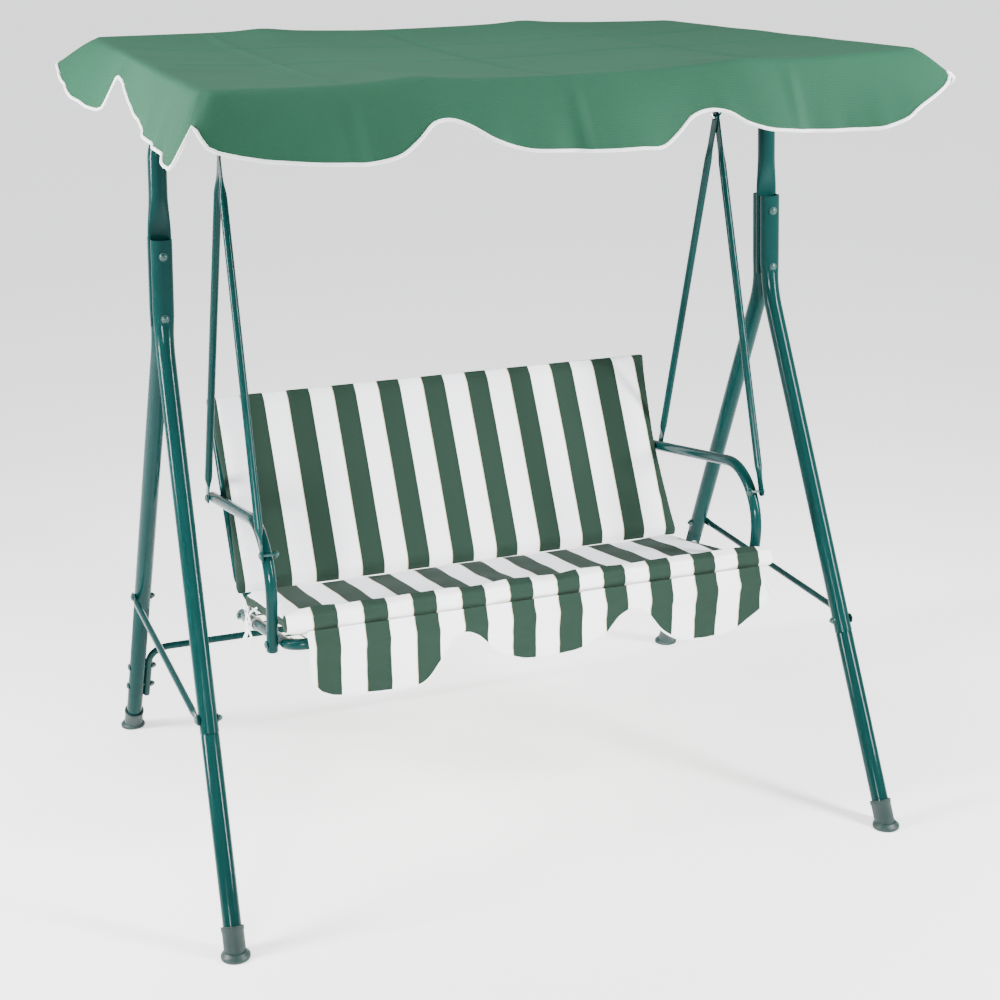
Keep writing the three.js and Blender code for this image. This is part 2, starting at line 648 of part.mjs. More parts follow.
// Inverted U: its feet are pressed flat and bolted to the inside of the seat frame's side rails.
function backFrame() {
  const foot = (s) => v3(s * backX, ...backPoint(SEAT_REAR[1] - 12));
  const shoulder = (x) => v3(x, ...backPoint(BACK_SHOULDER_Z));
  const up = (s) => shoulder(s * backX).sub(foot(s));
  const side = (s) => [
    ...pressStations(foot(s), up(s), BACK_PRESS),
    bend(shoulder(s * SEAT_X), BACK_BEND / 2),
    v3(s * SEAT_X, ...backPoint(BACK_TOP_Z)),
  ];
  const frame = tube([...side(-1), ...side(1).reverse()], BACK_BEND, BACK_TUBE);
  sides.forEach(({ s }) => press(frame, foot(s), up(s), X, BACK_TUBE, BACK_PRESS));
  return cut(frame, railHoles([REAR_BOLT, SEAT_REAR]));
}

// A panel of crossed wires, welded into one piece, between two edges given by their y, z.
function wireGrid(from, to, across, along) {
  const [a, b] = [v3(0, ...from), v3(0, ...to)];
  const half = SEAT_X - GRID_INSET;
  const wires = [];
  for (let i = 0; i < along; i += 1) {
    const { y, z } = a.clone().lerp(b, i / (along - 1));
    wires.push(bar(v3(-half, y, z), v3(half, y, z), WIRE, 4));
  }
  for (let i = 0; i < across; i += 1) {
    const x = (half - 24) * ((2 * i) / (across - 1) - 1);
    wires.push(bar(v3(x, a.y, a.z), v3(x, b.y, b.z), WIRE, 4));
  }
  return join(wires);
}

// ---- soft parts ---------------------------------------------------------------------------
// A slab along the bench: its outline is given in y, z.
function slab(outline, from, to) {
  const shape = new THREE.Shape(profile(outline));
  const geometry = new THREE.ExtrudeGeometry(shape, { depth: to - from, bevelEnabled: false });
  return geometry.rotateX(Math.PI / 2).rotateZ(Math.PI / 2).translate(from, 0, 0);
}

function seatCushion() {
  const over = (t, thickness) => {
    const [y, z] = seatPoint(t);
    const lift = SEAT_TUBE / 2 + CUSHION_LIFT + thickness;
    return [y + lift * Math.sin(seatSlope), z + lift * Math.cos(seatSlope)];
  };
  return slab([
    over(-0.045, 0), over(0.93, 0), over(0.9, SEAT_PAD - 4), over(0.3, SEAT_PAD),
    [ROLL_FRONT + 60, ROLL_TOP - 12], [ROLL_FRONT + 40, ROLL_TOP - 1], [ROLL_FRONT + 14, ROLL_TOP],
    [ROLL_FRONT, ROLL_TOP - 14], [ROLL_FRONT, SKIRT_TOP + 6], [SKIRT_Y + 8, SKIRT_TOP + 1],
  ], -CUSHION_X, CUSHION_X);
}

function backCushion() {
  const rear = BACK_TUBE / 2 + CUSHION_LIFT;
  const face = rear + BACK_PAD;
  const [low, high] = BACK_PAD_Z;
  const at = (z, h) => [backPoint(z)[0] - h * Math.cos(BACK_LEAN), z + h * Math.sin(BACK_LEAN)];
  return slab([
    at(low, rear), at(low, face - 6), at(low + 16, face), at(high - 12, face), at(high, face - 6),
    at(high, rear),
  ], -CUSHION_X, CUSHION_X);
}

// A flat valance that hangs from the front of the seat cushion.
function cushionSkirt() {
  const outline = [SKIRT_Y - CLOTH / 2, SKIRT_Y + CLOTH / 2].flatMap((y, i) => (
    i === 0 ? [[y, SKIRT_BOTTOM], [y, SKIRT_TOP]] : [[y, SKIRT_TOP], [y, SKIRT_BOTTOM]]
  ));
  const arches = SKIRT_ARCHES.map((at) => ({ at, rise: SKIRT_RISE }));
  return cut(slab(outline, ...SKIRT_ENDS), [hemCutter(SKIRT_BOTTOM, arches, SKIRT_ARCH_HALF)]);
}

// ---- bolts of the hanging bench -----------------------------------------------------------
function buildBenchBolts({ name, s }) {
  const add = (part, outer, inner, place) => {
    addPart(`${part}_${name}`, bolt(v3(s * outer, ...place), v3(-s, 0, 0), outer - inner), zinc);
  };
  const armSide = armrestOuter + 2 * GAP + PRESSED;
  const railSide = SEAT_X + SEAT_TUBE / 2 + GAP;
  add('arm_bolt_front', armSide, ARMREST_X - ARMREST_TUBE / 2 - GAP, FRONT_BOLT);
  add('arm_bolt_rear', armSide, SEAT_X - BACK_TUBE / 2 - GAP, REAR_BOLT);
  add('armrest_bolt', armrestOuter + GAP, SEAT_X - SEAT_TUBE / 2 - GAP, ARMREST_BOLT);
  add('seat_bolt', railSide, backX - PRESSED / 2 - GAP, SEAT_REAR);
}

function buildHangingBench() {
  for (const { name, s } of sides) {
    addPart(`hanger_arm_front_${name}`, hangerArm(s, -1, FRONT_BOLT), enamel);
    addPart(`hanger_arm_rear_${name}`, hangerArm(s, 1, REAR_BOLT), enamel);
    addPart(`armrest_${name}`, armrest(s), enamel);
  }
  sides.forEach(buildBenchBolts);
  addPart('seat_frame', seatFrame(), enamel);
  addPart('back_frame', backFrame(), enamel);
  addPart('seat_grid', wireGrid(seatPoint(0.06), seatPoint(0.86), 7, 3), enamel);
  addPart('back_grid', wireGrid(backPoint(460), backPoint(745), 7, 3), enamel);
  addPart('seat_cushion', seatCushion(), stripedCloth);
  addPart('back_cushion', backCushion(), stripedCloth);
  addPart('cushion_skirt', cushionSkirt(), stripedCloth);
}

sides.forEach(buildSideFrame);
buildCrossbar();
buildBeam();
buildCanopy();
buildHangingBench();

export default bench;
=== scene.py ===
import math

import bpy
import numpy as np
from mathutils import Matrix, Vector, noise


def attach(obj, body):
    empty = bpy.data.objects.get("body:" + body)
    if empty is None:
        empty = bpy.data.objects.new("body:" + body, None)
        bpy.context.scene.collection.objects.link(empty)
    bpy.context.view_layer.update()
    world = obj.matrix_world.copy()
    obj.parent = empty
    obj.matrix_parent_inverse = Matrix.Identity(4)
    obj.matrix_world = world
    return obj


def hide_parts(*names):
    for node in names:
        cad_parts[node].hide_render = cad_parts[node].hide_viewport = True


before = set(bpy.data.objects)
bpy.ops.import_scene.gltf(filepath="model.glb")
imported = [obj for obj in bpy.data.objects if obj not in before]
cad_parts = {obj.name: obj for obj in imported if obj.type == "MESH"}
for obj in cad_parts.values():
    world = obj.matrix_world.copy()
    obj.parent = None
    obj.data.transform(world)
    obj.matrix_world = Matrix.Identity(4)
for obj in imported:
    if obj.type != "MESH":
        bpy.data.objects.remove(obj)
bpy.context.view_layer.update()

# ---- driving dimensions, in metres ----------------------------------------------------------
MM = 0.001
GAP = 0.3 * MM
WALL = 1.2 * MM
THIN_WALL = 1.0 * MM
PRESSED = 3 * MM                      # a small tube where its end is pressed flat

FOOT_X, FOOT_Y = 0.666, 0.520
LEG_TOP_X, LEG_TOP_Z = 0.625, 1.201
LEG_TUBE, LOWER_LEG_TUBE = 0.035, 0.034
LEG_BEND_Z, LEG_BEND = 1.006, 0.160
LEG_JOINT_Z = 0.357
PLUG_LENGTH = 0.060
TONGUE = 0.010
LEG_PRESS = {"flat": 0.130, "fade": 0.060, "thickness": 0.025, "width": 0.040}
POST_PRESS = {"flat": 0.166, "fade": 0.080, "thickness": TONGUE, "width": 0.044}
POST_BOLT_Z = {"upper": 1.171, "lower": 1.055}
POST_FOOT_Z = 1.037

STRUT_Z, STRUT_TUBE = 0.381, 0.013
STRUT_PRESS = {"flat": 0.026, "fade": 0.026, "thickness": PRESSED, "width": 0.019}
CROSSBAR_Z, CROSSBAR_TUBE, CROSSBAR_BEND = 0.229, 0.015, 0.042
CROSSBAR_END_Z = 0.095
CROSSBAR_BOLT_Z = {"upper": 0.180, "lower": 0.125}

BEAM_Z, BEAM_TUBE, BEAM_BEND = 1.413, 0.035, 0.072
SLEEVE_HALF = 0.060
PIVOT_X, PIVOT_Z = 0.506, 1.362
HOOK_WIRE, HOOK_RADIUS = 0.008, 0.013
ARM_TUBE, EYE_HOLE, ARM_OVERHANG = 0.0155, 0.012, 0.011
ARM_TOP_PRESS = {"flat": 0.062, "fade": 0.045, "thickness": PRESSED, "width": 0.022}
ARM_FOOT_PRESS = {"flat": 0.034, "fade": 0.030, "thickness": PRESSED, "width": 0.021}

CANOPY_X, CANOPY_Y, CANOPY_TOP = 0.646, 0.526, 1.522
RAIL_TUBE, RAIL_Z, RAIL_BEND, RAIL_RETURN = 0.019, 1.505, 0.040, 0.150
RAIL_X, RAIL_Y = 0.633, 0.513
SUPPORT_X, SUPPORT_WING, SUPPORT_BEND = 0.290, 0.090, 0.080
SUPPORT_PRESS = {"flat": 0.022, "fade": 0.034, "thickness": PRESSED, "width": 0.026}

ARMREST_X, ARMREST_TUBE, ARMREST_BEND = 0.503, 0.022, 0.112
ARMREST_CORNER, ARMREST_END = (-0.256, 0.700), (-0.218, 0.447)
FRONT_BOLT, ARMREST_BOLT = (-0.226, 0.641), (-0.221, 0.462)
SEAT_X, SEAT_TUBE, SEAT_BEND = 0.479, 0.022, 0.038
SEAT_FRONT, SEAT_REAR = (-0.266, 0.471), (0.133, 0.385)
BACK_TUBE, BACK_BEND = 0.019, 0.060
BACK_LEAN = math.radians(28.7)
BACK_TOP_Z, BACK_SHOULDER_Z = 0.775, 0.452
BACK_PRESS = {"flat": 0.030, "fade": 0.024, "thickness": PRESSED, "width": 0.026}
WIRE = 0.004

SIDES = {"left": -1, "right": 1}
ENDS = {"front": -1, "rear": 1}
X, Y, Z = Vector((1, 0, 0)), Vector((0, 1, 0)), Vector((0, 0, 1))

# Each side frame leans inwards by its splay; inside it the legs slope towards each other.
SPLAY = math.atan2(FOOT_X - LEG_TOP_X, LEG_TOP_Z)
LEG_TOP_Y = TONGUE / 2 + LEG_PRESS["thickness"] / 2 + GAP
LEG_SLOPE = (FOOT_Y - LEG_TOP_Y) / LEG_BEND_Z


def leg_y(z):
    return FOOT_Y - z * LEG_SLOPE


def leg_x(z):
    return FOOT_X - z * math.tan(SPLAY)


def side_matrix(s):
    """From a side frame's own upright plane to where it stands."""
    return Matrix.Translation((s * FOOT_X, 0, 0)) @ Matrix.Rotation(-s * SPLAY, 4, "Y")


def seat_point(t):
    return tuple(a + t * (b - a) for a, b in zip(SEAT_FRONT, SEAT_REAR))


def back_point(z):
    return SEAT_REAR[0] + (z - SEAT_REAR[1]) * math.tan(BACK_LEAN), z


REAR_BOLT = back_point(0.606)
ARMREST_OUTER = ARMREST_X + ARMREST_TUBE / 2
BACK_FOOT_X = SEAT_X - SEAT_TUBE / 2 - PRESSED / 2 - 2 * MM


# ---- camera, floor and light ----------------------------------------------------------------
def add_camera():
    data = bpy.data.cameras.new("camera")
    data.lens = 67.97
    camera = bpy.data.objects.new("camera", data)
    bpy.context.scene.collection.objects.link(camera)
    heading, down, roll = math.radians(20.24), math.radians(18.33), math.radians(-0.56)
    turn = Matrix.Rotation(-heading, 4, "Z") @ Matrix.Rotation(math.pi / 2 - down, 4, "X")
    stand = Matrix.Translation((-1.234, -3.445, 1.828))
    camera.matrix_world = stand @ turn @ Matrix.Rotation(roll, 4, "Z")
    bpy.context.scene.camera = camera


def add_lamp(name, place, aim, size, power, spread=180):
    """A lit panel at a place, turned to its aim; a narrow spread, in degrees, makes a spotlight."""
    data = bpy.data.lights.new(name, "AREA")
    data.shape = "RECTANGLE"
    data.size, data.size_y = size
    data.energy = power
    data.spread = math.radians(spread)
    lamp = bpy.data.objects.new(name, data)
    bpy.context.scene.collection.objects.link(lamp)
    lamp.location = place
    lamp.rotation_euler = (Vector(aim) - Vector(place)).to_track_quat("-Z", "Y").to_euler()
    lamp.visible_camera = False


def add_studio():
    world = bpy.data.worlds.new("studio")
    bpy.context.scene.world = world
    world.use_nodes = True
    sky = world.node_tree.nodes["Background"]
    sky.inputs["Color"].default_value = linear("f4f7f8")
    sky.inputs["Strength"].default_value = 0.78
    # The two upright strips draw a bright line down each tube and light the canopy's valances;
    # the spotlight is for the cushions and the high panel for the canopy's top.
    add_lamp("left strip light", (-2.7, 0.1, 1.9), (-0.6, 0, 1.2), (0.30, 1.7), 230)
    add_lamp("right strip light", (1.9, -1.8, 2.0), (0.6, -0.4, 1.2), (0.25, 1.6), 190)
    add_lamp("bench spotlight", (-1.9, -3.0, 1.35), (0, -0.1, 0.55), (0.7, 0.5), 9, 30)
    add_lamp("high softbox", (-0.4, 0.5, 4.6), (0, 0, 1.5), (1.6, 1.2), 16, 60)
    deselect()
    bpy.ops.mesh.primitive_plane_add(size=400, location=(0, 0, 0))
    floor = bpy.context.object
    floor.name = "studio_floor"
    floor.data.materials.append(studio_paper())


# ---- materials ------------------------------------------------------------------------------
def linear(code):
    """An sRGB colour written as six hex digits, as linear red, green, blue and alpha."""
    parts = [int(code[i:i + 2], 16) / 255 for i in (0, 2, 4)]
    return (*(c / 12.92 if c <= 0.04045 else ((c + 0.055) / 1.055) ** 2.4 for c in parts), 1)


def add(tree, kind, settings, output=None):
    """Adds a node with its properties, input values and links; gives it or one of its outputs."""
    made = tree.nodes.new("ShaderNode" + kind)
    for key, value in settings.items():
        if isinstance(key, str) and key[0].islower():
            setattr(made, key, value)
        elif isinstance(value, bpy.types.NodeSocket):
            tree.links.new(value, made.inputs[key])
        else:
            made.inputs[key].default_value = value
    return made if output is None else made.outputs[output]


def start_material(name, sockets):
    """A material with its Principled node, its tree, and Object coordinates to draw with."""
    made = bpy.data.materials.new(name)
    made.use_nodes = True
    tree = made.node_tree
    shader = tree.nodes["Principled BSDF"]
    for socket, value in sockets.items():
        shader.inputs[socket].default_value = value
    return made, tree, shader, add(tree, "TexCoord", {}, "Object")


def connect(tree, shader, outputs):
    """Links outputs to the shader's sockets of these names."""
    for socket, output in outputs.items():
        tree.links.new(output, shader.inputs[socket])


def threads(pitch):
    """A wave texture's scale for threads that lie a pitch apart."""
    return math.tau / 20 / pitch


def patches(size):
    """A noise texture's scale for patches about this size."""
    return 1 / size


def studio_paper():
    # Matt white background paper: faintly mottled, no shine. It glows a little and stays pale.
    made, tree, shader, place = start_material("background paper", {
        "Roughness": 0.95, "Emission Color": linear("ffffff"), "Emission Strength": 1.0,
    })
    mottle = add(tree, "TexNoise", {"Vector": place, "Scale": patches(667 * MM), "Detail": 2.0}, "Fac")
    white = add(tree, "Mix", {
        "data_type": "RGBA", 0: mottle, 6: linear("f4f4f4"), 7: linear("fafafa"),
    }, 2)
    connect(tree, shader, {"Base Color": white})
    return made


def enamelled_steel():
    # Teal stoving enamel on drawn steel tube: glossy, with the faint orange peel of sprayed
    # paint and a little settled dust, which dulls the shine in soft patches.
    made, tree, shader, place = start_material(
        "stoved teal enamel on steel tube", {"IOR": 1.5, "Specular IOR Level": 0.12}
    )
    cloud = add(tree, "TexNoise", {"Vector": place, "Scale": patches(167 * MM), "Detail": 3.0}, "Fac")
    tint = add(tree, "Mix", {
        "data_type": "RGBA", 0: cloud, 6: linear("032928"), 7: linear("063331"),
    }, 2)
    dust = add(tree, "TexNoise", {"Vector": place, "Scale": patches(33.3 * MM), "Detail": 6.0}, "Fac")
    settled = add(tree, "MapRange", {"Value": dust, 1: 0.55, 2: 0.8, 3: 0.0, 4: 0.25}, 0)
    dusty = add(tree, "Mix", {"data_type": "RGBA", 0: settled, 6: tint, 7: linear("0d3d3b")}, 2)
    dull = add(tree, "MapRange", {"Value": dust, 1: 0.3, 2: 0.8, 3: 0.10, 4: 0.24}, 0)
    peel = add(tree, "TexNoise", {"Vector": place, "Scale": patches(2.38 * MM), "Detail": 1.0}, "Fac")
    bump = add(tree, "Bump", {"Height": peel, "Strength": 0.06, "Distance": 0.3 * MM}, "Normal")
    connect(tree, shader, {"Base Color": dusty, "Roughness": dull, "Normal": bump})
    return made


def zinc_plate():
    # Bright zinc plating on hooks and bolts: pale metal, slightly cloudy, finely scratched.
    made, tree, shader, place = start_material("bright zinc plating", {"Metallic": 1.0})
    cloud = add(tree, "TexNoise", {"Vector": place, "Scale": patches(11.1 * MM), "Detail": 4.0}, "Fac")
    tint = add(tree, "Mix", {
        "data_type": "RGBA", 0: cloud, 6: linear("c2c7cb"), 7: linear("dfe2e4"),
    }, 2)
    dull = add(tree, "MapRange", {"Value": cloud, 1: 0.3, 2: 0.7, 3: 0.24, 4: 0.42}, 0)
    scratch = add(tree, "TexNoise", {
        "Vector": place, "Scale": patches(1.11 * MM), "Detail": 2.0,
    }, "Fac")
    bump = add(tree, "Bump", {"Height": scratch, "Strength": 0.1, "Distance": 0.2 * MM}, "Normal")
    connect(tree, shader, {"Base Color": tint, "Roughness": dull, "Normal": bump})
    return made


def painted_nut():
    # Bolt ends sprayed over in the tube's colour: darker, with a duller, thicker coat.
    made, tree, shader, place = start_material(
        "painted bolt", {"Roughness": 0.38, "IOR": 1.5, "Coat Weight": 0.2}
    )
    cloud = add(tree, "TexNoise", {"Vector": place, "Scale": patches(8.33 * MM), "Detail": 3.0}, "Fac")
    tint = add(tree, "Mix", {
        "data_type": "RGBA", 0: cloud, 6: linear("08302e"), 7: linear("0f403d"),
    }, 2)
    bump = add(tree, "Bump", {"Height": cloud, "Strength": 0.2, "Distance": 0.3 * MM}, "Normal")
    connect(tree, shader, {"Base Color": tint, "Normal": bump})
    return made


def moulded_polyethylene():
    # Injection-moulded polyethylene foot caps: dark green, satin, finely grained, dusty low down.
    made, tree, shader, place = start_material(
        "moulded green polyethylene", {"IOR": 1.5, "Specular IOR Level": 0.45}
    )
    height = add(tree, "SeparateXYZ", {"Vector": place}, "Z")
    low = add(tree, "MapRange", {"Value": height, 1: 0.0, 2: 0.03, 3: 0.35, 4: 0.0}, 0)
    tint = add(tree, "Mix", {
        "data_type": "RGBA", 0: low, 6: linear("0a2421"), 7: linear("1c3a37"),
    }, 2)
    grain = add(tree, "TexNoise", {"Vector": place, "Scale": patches(1.43 * MM), "Detail": 2.0}, "Fac")
    dull = add(tree, "MapRange", {"Value": grain, 1: 0.3, 2: 0.7, 3: 0.42, 4: 0.6}, 0)
    bump = add(tree, "Bump", {"Height": grain, "Strength": 0.25, "Distance": 0.3 * MM}, "Normal")
    connect(tree, shader, {"Base Color": tint, "Roughness": dull, "Normal": bump})
    return made


def weave_bump(tree, place, pitch, strength):
    """Threads over and under each other, as a bump."""
    lengthwise, crosswise = (
        add(tree, "TexWave", {"Vector": place, "bands_direction": direction,
                              "Scale": threads(pitch), "Distortion": 0.6, "Detail": 1.0}, "Fac")
        for direction in ("X", "Z")
    )
    mesh = add(tree, "Math", {"operation": "ADD", 0: lengthwise, 1: crosswise}, 0)
    return add(tree, "Bump", {"Height": mesh, "Strength": strength, "Distance": 0.4 * MM}, "Normal")


def canopy_polyester():
    # Green polyester, dyed and woven, proofed inside: a soft sheen, and light comes through it.
    # The weave is drawn about six times too coarse, or it would not show.
    made, tree, shader, place = start_material(
        "dyed canopy polyester", {"Roughness": 0.75, "Specular IOR Level": 0.25}
    )
    patch = add(tree, "TexNoise", {"Vector": place, "Scale": patches(200 * MM), "Detail": 4.0}, "Fac")
    dyed = add(tree, "Mix", {
        "data_type": "RGBA", 0: patch, 6: linear("1d4f39"), 7: linear("265b43"),
    }, 2)
    speck = add(tree, "TexNoise", {"Vector": place, "Scale": patches(2.08 * MM), "Detail": 2.0}, "Fac")
    thread = add(tree, "MapRange", {"Value": speck, 1: 0.3, 2: 0.7, 3: 0.0, 4: 0.35}, 0)
    tint = add(tree, "Mix", {"data_type": "RGBA", 0: thread, 6: dyed, 7: linear("174a33")}, 2)
    bump = weave_bump(tree, place, 2.4 * MM, 0.25)
    connect(tree, shader, {"Base Color": tint, "Normal": bump})
    glow = add(tree, "BsdfTranslucent", {"Color": tint, "Normal": bump}, 0)
    both = add(tree, "MixShader", {0: 0.22, 1: shader.outputs[0], 2: glow}, 0)
    tree.links.new(both, tree.nodes["Material Output"].inputs["Surface"])
    return made


def white_tape():
    # Woven white edging tape: matt, with a fine rib across it.
    made, tree, shader, place = start_material(
        "white edging tape", {"Roughness": 0.85, "Sheen Weight": 0.2}
    )
    rib = add(tree, "TexNoise", {"Vector": place, "Scale": patches(3.33 * MM), "Detail": 3.0}, "Fac")
    tint = add(tree, "Mix", {
        "data_type": "RGBA", 0: rib, 6: linear("dcdde0"), 7: linear("f2f3f5"),
    }, 2)
    connect(tree, shader, {"Base Color": tint, "Normal": weave_bump(tree, place, 1.8 * MM, 0.3)})
    return made


STRIPE, TAN_THREAD = 49.8 * MM, 1.6 * MM
STRIPE_DRIFT, STRIPE_STRETCH = 27.7 * MM, 0.0248    # how far the stripes shift and spread


def striped_cotton():
    # Woven cotton and polyester cover with green and white stripes, which lie straight on the
    # back and drift sideways towards the front of the seat. Each green stripe starts with a
    # thin tan thread. Matt, with green left ends and a plain beige lining where it faces down
    # or to the rear; the weave is drawn coarse, as on the canopy.
    made, tree, shader, place = start_material(
        "striped cushion cloth", {"Roughness": 0.85, "Specular IOR Level": 0.3}
    )
    split = add(tree, "SeparateXYZ", {"Vector": place})
    forwards = add(tree, "MapRange", {"Value": split.outputs["Y"], 1: 0.128, 2: -0.297}, 0)
    stretch = add(tree, "Math", {
        "operation": "MULTIPLY_ADD", 0: forwards, 1: STRIPE_STRETCH, 2: 1.0,
    }, 0)
    shift = add(tree, "Math", {
        "operation": "MULTIPLY_ADD", 0: forwards, 1: STRIPE_DRIFT, 2: STRIPE / 2,
    }, 0)
    across = add(tree, "Math", {
        "operation": "MULTIPLY_ADD", 0: split.outputs["X"], 1: stretch, 2: shift,
    }, 0)
    count = add(tree, "Math", {"operation": "DIVIDE", 0: across, 1: 2 * STRIPE}, 0)
    above_zero = add(tree, "Math", {"operation": "ADD", 0: count, 1: 20.0}, 0)
    phase = add(tree, "Math", {"operation": "FRACT", 0: above_zero}, 0)
    white = add(tree, "Math", {"operation": "GREATER_THAN", 0: phase, 1: 0.5}, 0)
    tan = add(tree, "Math", {"operation": "LESS_THAN", 0: phase, 1: TAN_THREAD / (2 * STRIPE)}, 0)
    patch = add(tree, "TexNoise", {"Vector": place, "Scale": patches(2.5 * MM), "Detail": 3.0}, "Fac")
    green = add(tree, "Mix", {
        "data_type": "RGBA", 0: patch, 6: linear("0b2219"), 7: linear("112c20"),
    }, 2)
    pale = add(tree, "Mix", {
        "data_type": "RGBA", 0: patch, 6: linear("e9e9ef"), 7: linear("f6f6fa"),
    }, 2)
    dyed = add(tree, "Mix", {"data_type": "RGBA", 0: white, 6: green, 7: pale}, 2)
    dyed = add(tree, "Mix", {"data_type": "RGBA", 0: tan, 6: dyed, 7: linear("b5a886")}, 2)
    facing = add(tree, "TexCoord", {}, "Normal")
    for direction, limit, colour in (((0, 0.55, -0.83), 0.42, linear("cfc6ae")),
                                     ((-1, 0, 0), 0.72, green)):
        turned = add(tree, "VectorMath", {
            "operation": "DOT_PRODUCT", 0: facing, 1: direction,
        }, "Value")
        chosen = add(tree, "Math", {"operation": "GREATER_THAN", 0: turned, 1: limit}, 0)
        dyed = add(tree, "Mix", {"data_type": "RGBA", 0: chosen, 6: dyed, 7: colour}, 2)
    connect(tree, shader, {"Base Color": dyed, "Normal": weave_bump(tree, place, 2.0 * MM, 0.22)})
    return made


# ---- modelling helpers ----------------------------------------------------------------------
def deselect():
    if bpy.context.object and bpy.context.object.mode != "OBJECT":
        bpy.ops.object.mode_set(mode="OBJECT")
    bpy.ops.object.select_all(action="DESELECT")


def make_active(obj):
    deselect()
    obj.select_set(True)
    bpy.context.view_layer.objects.active = obj


def settle():
    """Puts the new primitive's place into its mesh and opens it for editing."""
    bpy.ops.object.transform_apply(location=True, rotation=True, scale=True)
    bpy.ops.object.mode_set(mode="EDIT")


def close_up(threshold=1e-6):
    """Merges doubled points, turns all faces outwards and leaves edit mode."""
    bpy.ops.mesh.select_all(action="SELECT")
    bpy.ops.mesh.remove_doubles(threshold=threshold)
    bpy.ops.mesh.normals_make_consistent(inside=False)
    bpy.ops.object.mode_set(mode="OBJECT")


def modify(obj, kind, **settings):
    """Adds a modifier and applies it."""
    make_active(obj)
    made = obj.modifiers.new(kind.lower(), kind)
    for key, value in settings.items():
        setattr(made, key, value)
    bpy.ops.object.modifier_apply(modifier=made.name)


def combine(obj, other, operation):
    """Joins another piece to this one, or cuts it away, and removes it."""
    modify(obj, "BOOLEAN", operation=operation, object=other, solver="EXACT")
    bpy.data.objects.remove(other)


def place_mesh(obj, matrix):
    obj.data.transform(matrix)
    obj.data.update()
    return obj


def dress(obj, name, material, body, nodes=(), smooth=40):
    """Names a finished piece, gives it its material and puts it on its body."""
    make_active(obj)
    bpy.ops.object.shade_smooth_by_angle(angle=math.radians(smooth))
    obj.name = name
    obj.data.name = name
    obj.data.materials.clear()
    obj.data.materials.append(material)
    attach(obj, body)
    if nodes:
        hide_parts(*nodes)
    return obj


def bent(corner, radius):
    """A route's corner with a bend radius of its own."""
    return {"at": Vector(corner), "bend": radius}


def sweep(corners, diameter, bend=0.03, wall=WALL, sides=28):
    """A tube: a ring is pulled along each straight run and spun round each bend. With no wall
    it is a solid rod."""
    stops = [c if isinstance(c, dict) else bent(c, bend) for c in corners]
    at = [stop["at"] for stop in stops]
    ahead = [(b - a).normalized() for a, b in zip(at, at[1:])]
    deselect()
    bpy.ops.mesh.primitive_circle_add(
        vertices=sides, radius=diameter / 2, location=at[0],
        rotation=ahead[0].to_track_quat("Z", "Y").to_euler(),
    )
    settle()
    here = at[0]
    for i in range(1, len(at) - 1):
        before, after = ahead[i - 1], ahead[i]
        angle = before.angle(after)
        if angle < 1e-3:
            bpy.ops.mesh.extrude_region_move(TRANSFORM_OT_translate={"value": at[i] - here})
            here = at[i]
            continue
        reach = stops[i]["bend"] * math.tan(angle / 2)
        begin = at[i] - before * reach
        bpy.ops.mesh.extrude_region_move(TRANSFORM_OT_translate={"value": begin - here})
        axis = before.cross(after).normalized()
        bpy.ops.mesh.spin(
            steps=max(3, round(angle / math.radians(6))), angle=-angle,
            center=begin + axis.cross(before) * stops[i]["bend"], axis=axis,
        )
        here = at[i] + after * reach
    bpy.ops.mesh.extrude_region_move(TRANSFORM_OT_translate={"value": at[-1] - here})
    bpy.ops.mesh.select_all(action="SELECT")
    bpy.ops.mesh.remove_doubles(threshold=1e-6)
    if not wall:
        bpy.ops.mesh.fill_holes(sides=0)
    close_up()
    return bpy.context.object


def add_wall(obj, wall=WALL):
    """Gives an open tube its wall, inwards."""
    modify(obj, "SOLIDIFY", thickness=wall, offset=-1.0, use_quality_normals=True)
    return obj


def press_stops(end, inward, shape, steps=6):
    """Places along a straight run where a pressed end needs rings."""
    fades = [shape["flat"] + shape["fade"] * k / steps for k in range(steps + 1)]
    return [end + inward * d for d in (0, *fades)]


def press(obj, end, inward, thin, diameter, shape, flat_side=0):
    """Presses a tube's end flat, fading back to round. With flat_side 1 or -1 only the face on
    that side of the thin direction is flat and the other stays round, like a D."""
    wide = inward.cross(thin).normalized()
    radius = diameter / 2
    for vertex in obj.data.vertices:
        offset = vertex.co - end
        depth = min(1.0, max(0.0, (offset.dot(inward) - shape["flat"]) / shape["fade"]))
        amount = 1 - depth * depth * (3 - 2 * depth)
        at_other_end = abs(offset.dot(thin)) > diameter
        if amount <= 0 or at_other_end:
            continue
        t, w = offset.dot(thin) / radius, offset.dot(wide) / radius
        boxy = max(-1.0, min(1.0, 2.2 * t))
        flattened = boxy if flat_side == 0 or t * flat_side > 0 else t
        new_t = flattened * shape["thickness"] / 2
        new_w = w * shape["width"] / 2
        vertex.co += thin * (amount * (new_t - t * radius)) + wide * (amount * (new_w - w * radius))
    return obj


def turn_outline(outline, steps=28):
    """Turns an outline of radius and height points round the Z axis."""
    deselect()
    bpy.ops.mesh.primitive_circle_add(vertices=3, radius=MM)
    settle()
    bpy.ops.mesh.merge(type="CENTER")
    bpy.ops.transform.translate(value=(outline[0][0], 0, outline[0][1]))
    for (r0, h0), (r1, h1) in zip(outline, outline[1:]):
        bpy.ops.mesh.extrude_vertices_move(TRANSFORM_OT_translate={"value": (r1 - r0, 0, h1 - h0)})
    bpy.ops.mesh.select_all(action="SELECT")
    bpy.ops.mesh.spin(steps=steps, angle=math.tau, center=(0, 0, 0), axis=(0, 0, 1))
    close_up()
    return bpy.context.object


